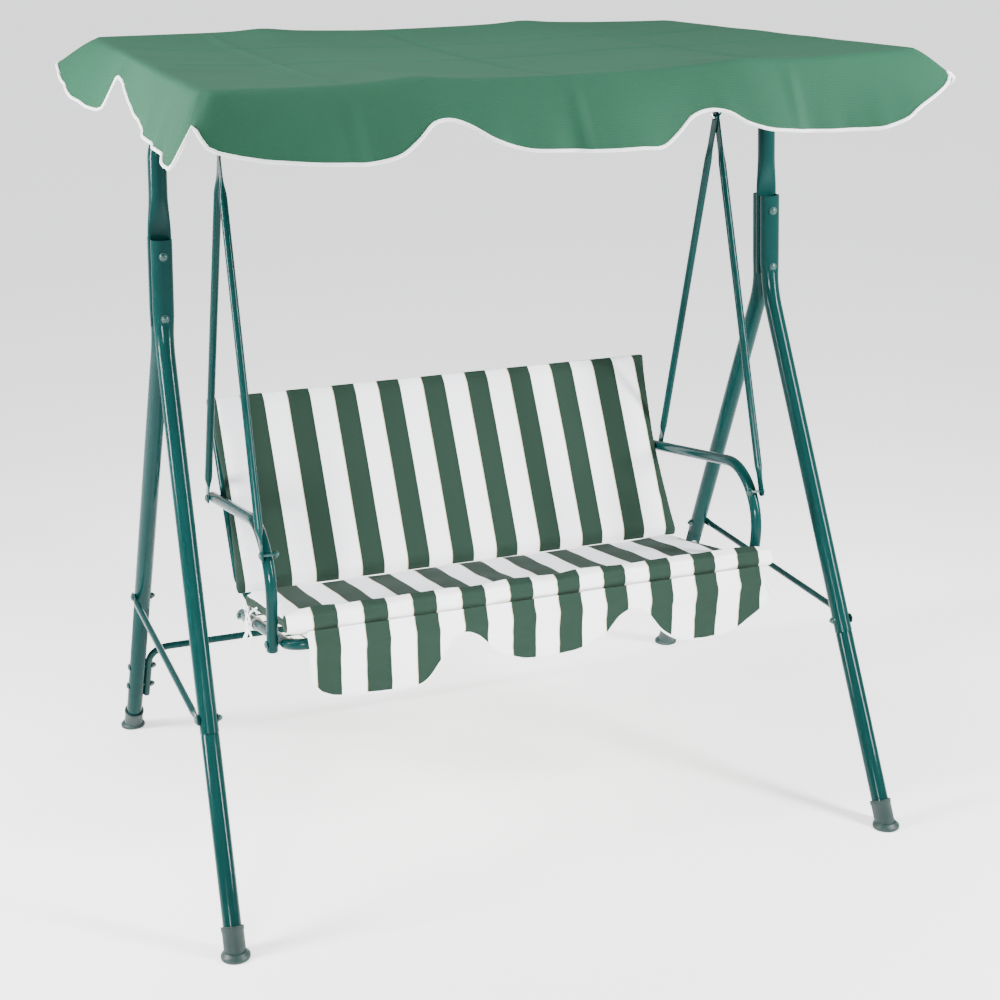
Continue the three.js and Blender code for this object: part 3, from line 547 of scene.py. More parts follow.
def towards(start, direction):
    """The matrix that stands a piece made along +Z on a start point, along a direction."""
    return Matrix.Translation(start) @ direction.to_track_quat("Z", "Y").to_matrix().to_4x4()


def join_pieces(objects):
    make_active(objects[0])
    for obj in objects[1:]:
        obj.select_set(True)
    bpy.ops.object.join()
    return bpy.context.object


def dress_tube(obj, name, body, node):
    """Dresses an enamelled piece that stands for one node."""
    return dress(obj, name, enamel, body, [node])


# ---- fasteners ------------------------------------------------------------------------------
BOLT, BOLT_HEAD, NUT_FLATS = 3 * MM, 6.8 * MM, 5.6 * MM


def hex_nut(radius, depth, place, edge):
    """A hexagon nut that stands along the Z axis, with its edges taken off."""
    deselect()
    bpy.ops.mesh.primitive_cylinder_add(vertices=6, radius=radius, depth=depth, location=place)
    settle()
    bpy.ops.mesh.select_all(action="SELECT")
    bpy.ops.mesh.bevel(offset=edge, segments=2)
    bpy.ops.object.mode_set(mode="OBJECT")
    return bpy.context.object


def bolt(name, start, direction, grip, body):
    """A round-headed bolt with washers and a domed hexagon nut, through a grip."""
    washer, rim = 8.2 * MM, 1.1 * MM
    dome = [(BOLT_HEAD * math.sin(a), -rim - 3.4 * MM * math.cos(a))
            for a in (math.radians(15 * k) for k in range(7))]
    head = turn_outline([
        *dome, (BOLT_HEAD, -rim), (washer, -rim), (washer, 0), (BOLT, 0), (BOLT, grip),
        (washer, grip), (washer, grip + rim), (0, grip + rim),
    ])
    nut = hex_nut(NUT_FLATS * 1.1547, 4 * MM, (0, 0, grip + rim + 2 * MM), 0.6 * MM)
    top = grip + rim + 3.6 * MM
    cap = turn_outline([(4.7 * MM * math.cos(a), top + 4.2 * MM * math.sin(a))
                        for a in (math.radians(15 * k) for k in range(7))] + [(0, top)], 20)
    piece = join_pieces([head, nut, cap])
    place_mesh(piece, towards(start, direction))
    return dress(piece, name + "_dome", painted, body, [name], smooth=35)


# ---- side frames ----------------------------------------------------------------------------
def upper_leg(s, e):
    foot = Vector((0, e * leg_y(LEG_JOINT_Z), LEG_JOINT_Z))
    corner = Vector((0, e * LEG_TOP_Y, LEG_BEND_Z))
    top = Vector((0, e * LEG_TOP_Y, LEG_TOP_Z))
    rings = [top - Z * d for d in (0.160, 0.140, 0.120, 0.100)]
    leg = sweep([foot, corner, *rings, top], LEG_TUBE, LEG_BEND)
    press(leg, top, -Z, Y, LEG_TUBE, LEG_PRESS, flat_side=-e)
    return place_mesh(add_wall(leg), side_matrix(s))


def lower_leg(s, e):
    low, seam = 0.008, LEG_JOINT_Z - GAP
    foot = Vector((0, e * leg_y(low), low))
    up = Vector((0, -e * LEG_SLOPE, 1)).normalized()
    length = (seam - low) / up.z
    r, neck = LOWER_LEG_TUBE / 2, LEG_TUBE / 2 - WALL - 1.2 * MM
    leg = turn_outline([
        (r - WALL, 0), (r, 0), (r, length - 1.5 * MM), (r - 1 * MM, length), (neck, length),
        (neck, length + PLUG_LENGTH), (neck - WALL, length + PLUG_LENGTH),
        (neck - WALL, length - 8 * MM), (r - WALL, length - 14 * MM), (r - WALL, 0),
    ])
    return place_mesh(leg, side_matrix(s) @ towards(foot, up))


def foot_cap(s, e):
    """A cup that leans with its leg, moulded in one with a round foot that lies flat."""
    foot = Vector((s * FOOT_X, e * FOOT_Y, 0))
    up = (side_matrix(s).to_3x3() @ Vector((0, -e * LEG_SLOPE, 1))).normalized()
    bore, outer, lip = LOWER_LEG_TUBE / 2 + 0.5 * MM, 0.0200, 0.0212
    cup = turn_outline([
        (0, -0.012), (outer, -0.012), (outer, 0.046), (lip, 0.048), (lip, 0.054),
        (lip - 0.8 * MM, 0.055), (bore, 0.055), (bore, 0.010), (0, 0.010),
    ], 40)
    place_mesh(cup, towards(foot, up))
    rim = 0.027
    flange = turn_outline([
        (0, 0), (rim - 2 * MM, 0), (rim - 0.6 * MM, 0.6 * MM), (rim, 2.5 * MM), (rim, 5 * MM),
        (rim - 1.2 * MM, 7.5 * MM), (rim - 4 * MM, 0.010), (0.0195, 0.0135), (0, 0.0135),
    ], 40)
    place_mesh(flange, Matrix.Translation(foot))
    combine(flange, cup, "UNION")
    bore_tool = turn_outline([(0, 0.012), (bore, 0.012), (bore, 0.090), (0, 0.090)], 40)
    place_mesh(bore_tool, towards(foot, up))
    combine(flange, bore_tool, "DIFFERENCE")
    make_active(flange)
    bpy.ops.object.mode_set(mode="EDIT")
    bpy.ops.mesh.select_all(action="SELECT")
    bpy.ops.mesh.bisect(plane_co=(0, 0, 0), plane_no=(0, 0, 1), use_fill=True, clear_inner=True)
    bpy.ops.mesh.select_all(action="SELECT")
    bpy.ops.mesh.remove_doubles(threshold=1e-5)
    bpy.ops.object.mode_set(mode="OBJECT")
    return flange


def straight_tube(length, first, last, diameter, wall=THIN_WALL):
    """A tube down the Z axis from 0 to -length with both ends pressed, thin along X."""
    low = Vector((0, 0, -length))
    stops = [*press_stops(Vector(), -Z, first), *reversed(press_stops(low, Z, last))]
    obj = sweep(stops, diameter, sides=24)
    press(obj, Vector(), -Z, X, diameter, first)
    press(obj, low, Z, X, diameter, last)
    return add_wall(obj, wall)


def side_strut(s):
    half = leg_y(STRUT_Z) + 0.011
    strut = straight_tube(2 * half, STRUT_PRESS, STRUT_PRESS, STRUT_TUBE)
    round_tips(strut, 2 * half, STRUT_PRESS["width"] / 2)
    x = s * (LEG_TUBE / 2 + GAP + PRESSED / 2)
    lie = Matrix.Translation((x, half, STRUT_Z)) @ Matrix.Rotation(-math.pi / 2, 4, "X")
    return place_mesh(strut, side_matrix(s) @ lie)


def round_tips(obj, length, radius):
    """Rounds both pressed tips of a straight tube that runs down the Z axis."""
    for vertex in obj.data.vertices:
        for tip, inward in ((0.0, -1), (-length, 1)):
            if abs(vertex.co.z - tip) < 0.5 * MM:
                drop = radius - math.sqrt(max(0.0, radius ** 2 - min(abs(vertex.co.y), radius) ** 2))
                vertex.co.z += inward * drop * 0.8


def build_side_frames():
    for side, s in SIDES.items():
        matrix = side_matrix(s)
        outside = s * (LEG_TUBE / 2 + 2 * GAP + PRESSED)
        for end, e in ENDS.items():
            name = f"{end}_{side}"
            dress_tube(upper_leg(s, e), f"upper_leg_tube_{name}", "frame", f"upper_leg_{name}")
            dress_tube(lower_leg(s, e), f"lower_leg_tube_{name}", "frame", f"lower_leg_{name}")
            dress(foot_cap(s, e), f"foot_cup_{name}", plastic, "frame",
                  [f"foot_cap_{name}"], smooth=32)
            start = matrix @ Vector((outside, e * leg_y(STRUT_Z), STRUT_Z))
            bolt(f"strut_bolt_{name}", start, matrix.to_3x3() @ Vector((-s, 0, 0)),
                 abs(outside) + LEG_TUBE / 2 + GAP, "frame")
        dress_tube(side_strut(s), f"side_strut_tube_{side}", "frame", f"side_strut_{side}")
        half = TONGUE / 2 + LEG_PRESS["thickness"] + 2 * GAP
        for level, z in POST_BOLT_Z.items():
            bolt(f"post_bolt_{level}_{side}", matrix @ Vector((0, -half, z)), Y, 2 * half, "frame")


def build_crossbar():
    def beside(s, z, inset):
        return side_matrix(s) @ Vector((-s * inset, leg_y(z), z))

    inset = LOWER_LEG_TUBE / 2 + CROSSBAR_TUBE / 2 + GAP
    corners = [beside(-1, CROSSBAR_END_Z, inset), beside(-1, CROSSBAR_Z, inset),
               beside(1, CROSSBAR_Z, inset), beside(1, CROSSBAR_END_Z, inset)]
    crossbar = add_wall(sweep(corners, CROSSBAR_TUBE, CROSSBAR_BEND, sides=24))
    dress_tube(crossbar, "rear_crossbar_tube", "frame", "rear_crossbar")
    for side, s in SIDES.items():
        across = side_matrix(s).to_3x3() @ Vector((-s, 0, 0))
        for level, z in CROSSBAR_BOLT_Z.items():
            bolt(f"crossbar_bolt_{level}_{side}", beside(s, z, -LOWER_LEG_TUBE / 2 - GAP), across,
                 LOWER_LEG_TUBE + CROSSBAR_TUBE + 3 * GAP, "frame")


# ---- top beam and hooks ---------------------------------------------------------------------
def beam_half(s):
    foot = Vector((s * leg_x(POST_FOOT_Z), 0, POST_FOOT_Z))
    corner = Vector((s * leg_x(BEAM_Z), 0, BEAM_Z))
    up = (corner - foot).normalized()
    stops = press_stops(foot, up, POST_PRESS, steps=10)
    post = sweep([*stops, corner, Vector((s * GAP, 0, BEAM_Z))], BEAM_TUBE, BEAM_BEND, sides=36)
    press(post, foot, up, Y, BEAM_TUBE, POST_PRESS)
    return add_wall(post)


def beam_sleeve():
    r = BEAM_TUBE / 2 + 4 * GAP
    outer = r + 1.5 * MM
    sleeve = turn_outline([
        (r, -SLEEVE_HALF), (outer - 0.4 * MM, -SLEEVE_HALF), (outer, 0.4 * MM - SLEEVE_HALF),
        (outer, SLEEVE_HALF - 0.4 * MM), (outer - 0.4 * MM, SLEEVE_HALF), (r, SLEEVE_HALF),
        (r, -SLEEVE_HALF),
    ], 36)
    return place_mesh(sleeve, Matrix.Translation((0, 0, BEAM_Z)) @ Matrix.Rotation(math.pi / 2, 4, "Y"))


def hanger_hook(s):
    """Threaded wire through the beam, bent back up below it, with a nut above and below."""
    x, r = s * PIVOT_X, HOOK_RADIUS
    wire = sweep([
        Vector((x, 0, BEAM_Z + BEAM_TUBE / 2 + 0.012)), Vector((x, 0, PIVOT_Z + 2 * r)),
        Vector((x + r, 0, PIVOT_Z + r)), Vector((x + r, 0, PIVOT_Z)), Vector((x - r, 0, PIVOT_Z)),
        Vector((x - r, 0, PIVOT_Z + 1.4 * r)),
    ], HOOK_WIRE, r * 0.92, wall=0, sides=16)
    lift = BEAM_TUBE / 2 + 3 * MM
    nuts = [hex_nut(7.5 * MM, 5.5 * MM, (x, 0, z), 0.8 * MM) for z in (BEAM_Z + lift, BEAM_Z - lift)]
    return join_pieces([wire, *nuts])


def build_beam():
    for side, s in SIDES.items():
        dress_tube(beam_half(s), f"beam_post_tube_{side}", "frame", f"beam_post_{side}")
        dress(hanger_hook(s), f"hanger_hook_wire_{side}", zinc, "frame",
              [f"hanger_hook_{side}"], smooth=35)
    dress_tube(beam_sleeve(), "beam_sleeve_tube", "frame", "beam_sleeve")


# ---- canopy frame ---------------------------------------------------------------------------
def canopy_rail(e):
    corners = [
        Vector((-RAIL_X, e * (RAIL_Y - RAIL_RETURN), RAIL_Z)), Vector((-RAIL_X, e * RAIL_Y, RAIL_Z)),
        Vector((RAIL_X, e * RAIL_Y, RAIL_Z)), Vector((RAIL_X, e * (RAIL_Y - RAIL_RETURN), RAIL_Z)),
    ]
    return add_wall(sweep(corners, RAIL_TUBE, RAIL_BEND, sides=20))


def canopy_side_bar(s):
    half = RAIL_Y - RAIL_RETURN - GAP
    ends = [Vector((s * RAIL_X, -half, RAIL_Z)), Vector((s * RAIL_X, half, RAIL_Z))]
    bar = add_wall(sweep(ends, RAIL_TUBE, sides=20))
    plug = RAIL_TUBE - 2 * WALL - 0.8 * MM
    tips = [end + Y * (0.04 * sign) for end, sign in zip(ends, (-1, 1))]
    return join_pieces([bar, add_wall(sweep(tips, plug, sides=16))])


def canopy_support(s):
    """A bar from rail to rail: it lies on the beam, rises on both sides and ends flat on a rail."""
    x = s * SUPPORT_X
    end_z = RAIL_Z + RAIL_TUBE / 2 + GAP + PRESSED / 2
    low_z = BEAM_Z + BEAM_TUBE / 2 + RAIL_TUBE / 2 + GAP
    step_z = RAIL_Z - 0.004
    rise = (step_z - low_z) / (RAIL_Y - 0.044 - SUPPORT_WING)
    tips = {e: Vector((x, e * (RAIL_Y + 0.008), end_z)) for e in (-1, 1)}

    def wing(e):
        stops = press_stops(tips[e], Vector((0, -e, 0)), {"flat": 0.018, "fade": 0.0}, 1)[:2]
        return [
            *stops, bent((x, e * (RAIL_Y - 0.016), end_z), 0.006),
            bent((x, e * (RAIL_Y - 0.044), step_z), 0.006),
            Vector((x, e * (RAIL_Y - 0.075), step_z - 0.031 * rise)),
            bent((x, e * SUPPORT_WING, low_z), SUPPORT_BEND),
        ]

    support = sweep([*wing(-1), *reversed(wing(1))], RAIL_TUBE, sides=20)
    for e, tip in tips.items():
        press(support, tip, Vector((0, -e, 0)), Z, RAIL_TUBE, SUPPORT_PRESS)
    return add_wall(support, THIN_WALL)


def build_canopy_frame():
    for end, e in ENDS.items():
        dress_tube(canopy_rail(e), f"canopy_rail_tube_{end}", "frame", f"canopy_rail_{end}")
    for side, s in SIDES.items():
        dress_tube(canopy_side_bar(s), f"canopy_side_tube_{side}", "frame",
                   f"canopy_side_bar_{side}")
        dress_tube(canopy_support(s), f"canopy_support_tube_{side}", "frame",
                   f"canopy_support_{side}")


# ---- hanging bench --------------------------------------------------------------------------
def hanger_arm(s, e, target):
    """Both ends are pressed flat; the upper one has the eye that hangs in the hook."""
    eye = Vector((s * (PIVOT_X - e * (PRESSED / 2 + GAP / 2)), 0, PIVOT_Z))
    pin = Vector((s * (ARMREST_OUTER + GAP + PRESSED / 2), *target))
    down = (pin - eye).normalized()
    length = (pin - eye).length + 2 * ARM_OVERHANG
    arm = straight_tube(length, ARM_TOP_PRESS, ARM_FOOT_PRESS, ARM_TUBE)
    round_tips(arm, length, ARM_TOP_PRESS["width"] / 2)
    for z, diameter in ((-ARM_OVERHANG, EYE_HOLE), (ARM_OVERHANG - length, 2 * BOLT + 2 * GAP)):
        drill = turn_outline([(0, -0.02), (diameter / 2, -0.02), (diameter / 2, 0.02), (0, 0.02)], 24)
        place_mesh(drill, Matrix.Translation((0, 0, z)) @ Matrix.Rotation(math.pi / 2, 4, "Y"))
        combine(arm, drill, "DIFFERENCE")
    across = X - down * X.dot(down)
    across.normalize()
    turn = Matrix([across, (-down).cross(across), -down]).transposed().to_4x4()
    return place_mesh(arm, Matrix.Translation(eye - down * ARM_OVERHANG) @ turn)


def armrest(s):
    x = s * ARMREST_X
    rear = Vector((x, REAR_BOLT[0] + 0.013, REAR_BOLT[1] - 2.3 * MM))
    corners = [rear, Vector((x, *ARMREST_CORNER)), Vector((x, *ARMREST_END))]
    return add_wall(sweep(corners, ARMREST_TUBE, ARMREST_BEND, sides=32))


def seat_frame():
    rear = seat_point(1.04)
    corners = [Vector((-SEAT_X, *rear)), Vector((-SEAT_X, *SEAT_FRONT)),
               Vector((SEAT_X, *SEAT_FRONT)), Vector((SEAT_X, *rear))]
    return add_wall(sweep(corners, SEAT_TUBE, SEAT_BEND, sides=28))


def back_frame():
    """Inverted U: its feet are pressed flat inside the seat frame's side rails."""
    def foot(s):
        return Vector((s * BACK_FOOT_X, *back_point(SEAT_REAR[1] - 0.012)))

    def up(s):
        return (Vector((s * BACK_FOOT_X, *back_point(BACK_SHOULDER_Z))) - foot(s)).normalized()

    def side(s):
        return [*press_stops(foot(s), up(s), BACK_PRESS),
                bent((s * SEAT_X, *back_point(BACK_SHOULDER_Z)), BACK_BEND / 2),
                Vector((s * SEAT_X, *back_point(BACK_TOP_Z)))]

    frame_tube = sweep([*side(-1), *reversed(side(1))], BACK_TUBE, BACK_BEND, sides=24)
    for s in SIDES.values():
        press(frame_tube, foot(s), up(s), X, BACK_TUBE, BACK_PRESS)
    return add_wall(frame_tube)


def wire_panel(low, high, along, across):
    """Wires welded to the frame: some run along the bench, and many cross them."""
    a, b = Vector((0, *low)), Vector((0, *high))
    wires = []
    for k in range(along):
        middle = a.lerp(b, k / (along - 1))
        reach = X * (SEAT_X - 0.010)
        wires.append(sweep([middle - reach, middle + reach], WIRE, wall=0, sides=8))
    lift = (b - a).normalized().cross(X) * WIRE * 0.8
    for k in range(across):
        x = X * ((SEAT_X - 0.040) * (2 * k / (across - 1) - 1))
        wires.append(sweep([a + x - lift, b + x - lift], WIRE * 0.8, wall=0, sides=8))
    return join_pieces(wires)


def build_bench_bolts(side, s):
    def fit(part, outer, inner, place):
        bolt(f"{part}_{side}", Vector((s * outer, *place)), Vector((-s, 0, 0)), outer - inner,
             "seat")

    arm_side = ARMREST_OUTER + 2 * GAP + PRESSED
    fit("arm_bolt_front", arm_side, ARMREST_X - ARMREST_TUBE / 2 - GAP, FRONT_BOLT)
    fit("arm_bolt_rear", arm_side, SEAT_X - BACK_TUBE / 2 - GAP, REAR_BOLT)
    fit("armrest_bolt", ARMREST_OUTER + GAP, SEAT_X - SEAT_TUBE / 2 - GAP, ARMREST_BOLT)
    fit("seat_bolt", SEAT_X + SEAT_TUBE / 2 + GAP, BACK_FOOT_X - PRESSED / 2 - GAP, SEAT_REAR)


def build_bench_frame():
    for side, s in SIDES.items():
        for end, e, target in (("front", -1, FRONT_BOLT), ("rear", 1, REAR_BOLT)):
            dress_tube(hanger_arm(s, e, target), f"hanger_arm_tube_{end}_{side}", "seat",
                       f"hanger_arm_{end}_{side}")
        dress_tube(armrest(s), f"armrest_tube_{side}", "seat", f"armrest_{side}")
        build_bench_bolts(side, s)
    dress_tube(seat_frame(), "seat_frame_tube", "seat", "seat_frame")
    dress_tube(back_frame(), "back_frame_tube", "seat", "back_frame")
    seat_wires = wire_panel(seat_point(0.05), seat_point(0.95), 5, 13)
    dress_tube(seat_wires, "seat_wires", "seat", "seat_grid")
    back_wires = wire_panel(back_point(0.450), back_point(0.755), 4, 13)
    dress_tube(back_wires, "back_wires", "seat", "back_grid")


# ---- canopy cloth ---------------------------------------------------------------------------
CLOTH = 1.2 * MM

# How far the hem drops below the panel, and how far it leans out for each metre of drop, along
# each side of the panel, all in millimetres but for the lean.
HEM_DROP = {
    "front": [(-646, 48), (-636, 56), (-620, 82), (-600, 95), (-570, 103), (-523, 108),
              (-437, 113), (-388, 114), (-345, 106), (-310, 88), (-285, 70), (-253, 63),
              (-221, 72), (-191, 89), (-143, 106),
              (-76, 112), (0, 116), (64, 117), (112, 117), (140, 101), (174, 78), (212, 72),
              (242, 81), (264, 97), (295, 110), (347, 115), (455, 119), (530, 116), (580, 98),
              (620, 62), (646, 40)],
    "rear": [(-646, 52), (-600, 88), (-540, 108), (-420, 114), (-340, 110), (-300, 84),
             (-262, 66), (-220, 84), (-180, 108), (-60, 116), (110, 114), (160, 88), (208, 68),
             (260, 92), (300, 110), (420, 117), (540, 108), (600, 84), (646, 48)],
    "left": [(-526, 48), (-518, 78), (-508, 108), (-490, 116), (-440, 107), (-320, 106),
             (-250, 106), (-188, 102), (-104, 92), (-42, 76), (20, 55), (70, 40), (98, 42),
             (113, 62), (132, 88), (165, 103),
             (212, 104), (258, 99), (310, 91), (368, 80), (431, 68), (475, 60), (526, 52)],
    "right": [(-526, 40), (-490, 66), (-440, 92), (-330, 106), (-150, 108), (-90, 94), (-40, 68),
              (0, 58), (40, 70), (90, 96), (150, 108), (330, 108), (440, 98), (490, 78), (526, 48)],
}
HEM_LEAN = {
    "front": [(-646, 0.45), (-540, 0.62), (0, 0.67), (540, 0.70), (646, 0.95)],
    "rear": [(-646, 1.25), (-500, 0.70), (0, 0.60), (520, 0.70), (646, 1.0)],
    "left": [(-526, 0.45), (-400, 0.38), (140, 0.38), (330, 0.75), (526, 1.25)],
    "right": [(-526, 0.95), (-360, 0.55), (0, 0.45), (360, 0.55), (526, 1.0)],
}
# How much higher or lower than the panel's height its front and rear edges lie.
EDGE_LIFT = {
    "front": [(-646, -3), (-600, -3), (-420, -3), (-290, 1), (-200, -2), (100, -2), (286, 6),
              (450, 7), (646, 13)],
    "rear": [(-646, 4), (-420, 4), (-290, 5), (-150, 0), (150, -1), (290, 2), (480, -4), (646, -6)],
}
CREASES_ACROSS = (-0.412, -0.030, 0.368)      # packing folds that run front to back
CREASES_ALONG = (-0.075, 0.230)               # and along the bench
CREASE_WIDTH, CREASE_HEIGHT = 7 * MM, 4.5 * MM
PANEL_SAG = 14 * MM                           # between the rails, in the middle
HELD_UP = 4 * MM                              # over the ends of the support bars
CORNER_SLACK = 8 * MM                         # how far the front left corner droops
EDGE_ROUND, CORNER_ROUND = 3.5 * MM, 13 * MM
VALANCE_RINGS = 16


def smooth_through(points, at):
    """A smooth line through points in millimetres, read in metres; slopes keep their number."""
    xs, ys = np.array(points, float).T
    xs = xs * MM
    slope = np.gradient(ys, xs)
    at = np.clip(at, xs[0], xs[-1])
    i = np.clip(np.searchsorted(xs, at) - 1, 0, len(xs) - 2)
    width = xs[i + 1] - xs[i]
    t = (at - xs[i]) / width
    return (
        (2 * t**3 - 3 * t**2 + 1) * ys[i] + (t**3 - 2 * t**2 + t) * width * slope[i]
        + (3 * t**2 - 2 * t**3) * ys[i + 1] + (t**3 - t**2) * width * slope[i + 1]
    )


def smooth_step(low, high, value):
    t = np.clip((value - low) / (high - low), 0, 1)
    return t * t * (3 - 2 * t)


def ripple(across, along, scale, seed):
    """A soft random height, from -1 to 1, at each place on a sheet."""
    return np.array([noise.noise(Vector((a, b, 0)) * scale + Vector((seed, 0, 0)))
                     for a, b in zip(across, along)])


def ridges(value, centres, width, heights):
    """Narrow rounded ridges of these heights, at these centres."""
    return sum(h * np.exp(-(((value - c) / width) ** 2)) for c, h in zip(centres, heights))


def read_points(obj):
    flat = np.empty(len(obj.data.vertices) * 3, np.float32)
    obj.data.vertices.foreach_get("co", flat)
    return flat.reshape(-1, 3).astype(float)


def write_points(obj, points):
    obj.data.vertices.foreach_set("co", points.astype(np.float32).ravel())
    obj.data.update()


def hem_of(table, u, v):
    """Reads a table of the four sides at panel places; the two sides agree in each corner."""
    x, y = u * CANOPY_X, v * CANOPY_Y
    sides = [smooth_through(table[name], at) for name, at in
             (("front", x), ("rear", x), ("left", y), ("right", y))]
    on = [v <= -1 + 1e-4, v >= 1 - 1e-4, u <= -1 + 1e-4, u >= 1 - 1e-4]
    return np.select(on, sides, default=0.0)


def panel_height(x, y):
    """The panel: tight over its rails, sagging between them, with packing folds."""
    u, v = x / CANOPY_X, y / CANOPY_Y
    front, rear = (smooth_through(EDGE_LIFT[end], x) * MM for end in ("front", "rear"))
    lift = front + (rear - front) * (v + 1) / 2
    sag = PANEL_SAG * (1 - u**4) * (1 - v**4)
    over_support = np.exp(-((np.abs(x) - SUPPORT_X) / 0.045) ** 2)
    taut = HELD_UP * over_support * smooth_step(0.55, 0.95, np.abs(v))
    fold = ridges(x, CREASES_ACROSS, CREASE_WIDTH, (1, -1, 1))
    fold = fold + ridges(y, CREASES_ALONG, CREASE_WIDTH, (-0.8, -0.8))
    fold = fold * (1 - smooth_step(0.82, 0.93, np.abs(v))) * (1 - smooth_step(0.88, 0.95, np.abs(u)))
    return CANOPY_TOP - CLOTH + lift - sag + taut + CREASE_HEIGHT * fold


def shape_canopy(points):
    """Takes the flat panel and the straight skirt round it to the cloth's real shape."""
    x, y = points[:, 0], points[:, 1]
    down = -points[:, 2] / VALANCE_RINGS / MM                    # 0 on the panel, 1 at the hem
    u, v = x / CANOPY_X, y / CANOPY_Y
    drop = hem_of(HEM_DROP, u, v) * MM
    lean = hem_of(HEM_LEAN, u, v)
    inset = np.minimum(CANOPY_X - np.abs(x), CANOPY_Y - np.abs(y))
    round_over = EDGE_ROUND * np.clip(1 - inset / 0.016, 0, 1) ** 2
    out_x = np.sign(x) * np.where(np.abs(u) > 1 - 1e-4, 1, smooth_step(0.90, 1.0, np.abs(u)))
    out_y = np.sign(y) * np.where(np.abs(v) > 1 - 1e-4, 1, smooth_step(0.88, 1.0, np.abs(v)))
    wave = ripple(x, y, 4.5, 3.0) * 0.012 + ripple(x, y, 12, 8.0) * 0.007
    pucker = ripple(x, y, 30, 5.0) * 0.0032 * down**4 + ripple(x, y, 16, 1.0) * 0.003 * down**2
    crease = ridges(x, CREASES_ACROSS, 0.006, (1, 1, 1)) * (np.abs(v) > 1 - 1e-4)
    out = drop * lean * (down + 0.10 * (1 - (1 - down) ** 5)) + wave * down**1.5 + pucker
    out = out + 0.005 * crease * smooth_step(0, 0.3, down)
    fall = round_over + (drop - EDGE_ROUND) * down
    corner = CORNER_ROUND * (np.abs(u) ** 22 * np.abs(v) ** 22)
    px = x - np.sign(x) * corner + out_x * out
    py = y - np.sign(y) * corner + out_y * out
    soft = 0.0012 * ripple(x, y, 7.0, 2.0) * (down == 0)
    slack = CORNER_SLACK * smooth_step(-0.62, -0.66, x) * smooth_step(-0.50, -0.535, y)
    return np.stack([px, py, panel_height(x, y) - fall - slack + soft], 1)


def separate_edge(obj, choose):
    """Copies chosen boundary edges of a sheet into an object of their own."""
    make_active(obj)
    bpy.ops.object.mode_set(mode="EDIT")
    bpy.ops.mesh.select_mode(type="EDGE")
    bpy.ops.mesh.select_all(action="SELECT")
    bpy.ops.mesh.region_to_loop()
    bpy.ops.object.mode_set(mode="OBJECT")
    for edge in obj.data.edges:
        ends = [obj.data.vertices[i].co for i in edge.vertices]
        if edge.select and not choose(*ends):
            edge.select = False
    for vertex in obj.data.vertices:
        vertex.select = False
    bpy.ops.object.mode_set(mode="EDIT")
    bpy.ops.mesh.duplicate()
    bpy.ops.mesh.separate(type="SELECTED")
    bpy.ops.mesh.select_mode(type="VERT")
    bpy.ops.object.mode_set(mode="OBJECT")
    return next(o for o in bpy.context.selected_objects if o is not obj)


def edge_binding(obj, radius, choose=lambda a, b: True):
    """A round binding along a sheet's edge, made from a copy of that edge."""
    edge = separate_edge(obj, choose)
    make_active(edge)
    bpy.ops.object.convert(target="CURVE")
    edge.data.bevel_depth = radius
    edge.data.bevel_resolution = 2
    bpy.ops.object.convert(target="MESH")
    bound = bpy.context.object
    bpy.ops.object.mode_set(mode="EDIT")
    close_up(1e-5)
    return bound


def build_canopy_cloth():
    deselect()
    bpy.ops.mesh.primitive_grid_add(x_subdivisions=146, y_subdivisions=120, size=2)
    cover = bpy.context.object
    cover.scale = (CANOPY_X, CANOPY_Y, 1)
    settle()
    bpy.ops.mesh.select_all(action="SELECT")
    bpy.ops.mesh.region_to_loop()
    for _ in range(VALANCE_RINGS):
        bpy.ops.mesh.extrude_edges_move(TRANSFORM_OT_translate={"value": (0, 0, -MM)})
    bpy.ops.mesh.select_all(action="SELECT")
    bpy.ops.mesh.normals_make_consistent(inside=False)
    bpy.ops.mesh.select_mode(type="VERT")
    bpy.ops.object.mode_set(mode="OBJECT")
    write_points(cover, shape_canopy(read_points(cover)))
    binding = edge_binding(cover, 3.1 * MM)
    modify(cover, "SOLIDIFY", thickness=CLOTH, offset=-1.0)
    dress(cover, "canopy_cloth", canopy_polyester(), "frame", ["canopy_cover"], 60)
    dress(binding, "canopy_binding", tape, "frame", smooth=60)


# ---- padded cushions ------------------------------------------------------------------------
ACROSS_BACK = Vector((0, math.cos(BACK_LEAN), -math.sin(BACK_LEAN)))   # out of the back, rearwards
CUSHION_REST = 0.0015


def closed_profile(profile, low, high, steps):
    """A block with this outline in the YZ plane, pulled out along the bench."""
    deselect()
    bpy.ops.mesh.primitive_circle_add(vertices=len(profile), radius=0.1, fill_type="NGON")
    settle()
    bpy.ops.object.mode_set(mode="OBJECT")
    obj = bpy.context.object
    for vertex, (y, z) in zip(obj.data.vertices, profile):
        vertex.co = (low, y * MM, z * MM)
    make_active(obj)
    bpy.ops.object.mode_set(mode="EDIT")
    bpy.ops.mesh.select_all(action="SELECT")
    for _ in range(steps):
        bpy.ops.mesh.extrude_region_move(
            TRANSFORM_OT_translate={"value": ((high - low) / steps, 0, 0)}
        )
    close_up()
    return obj


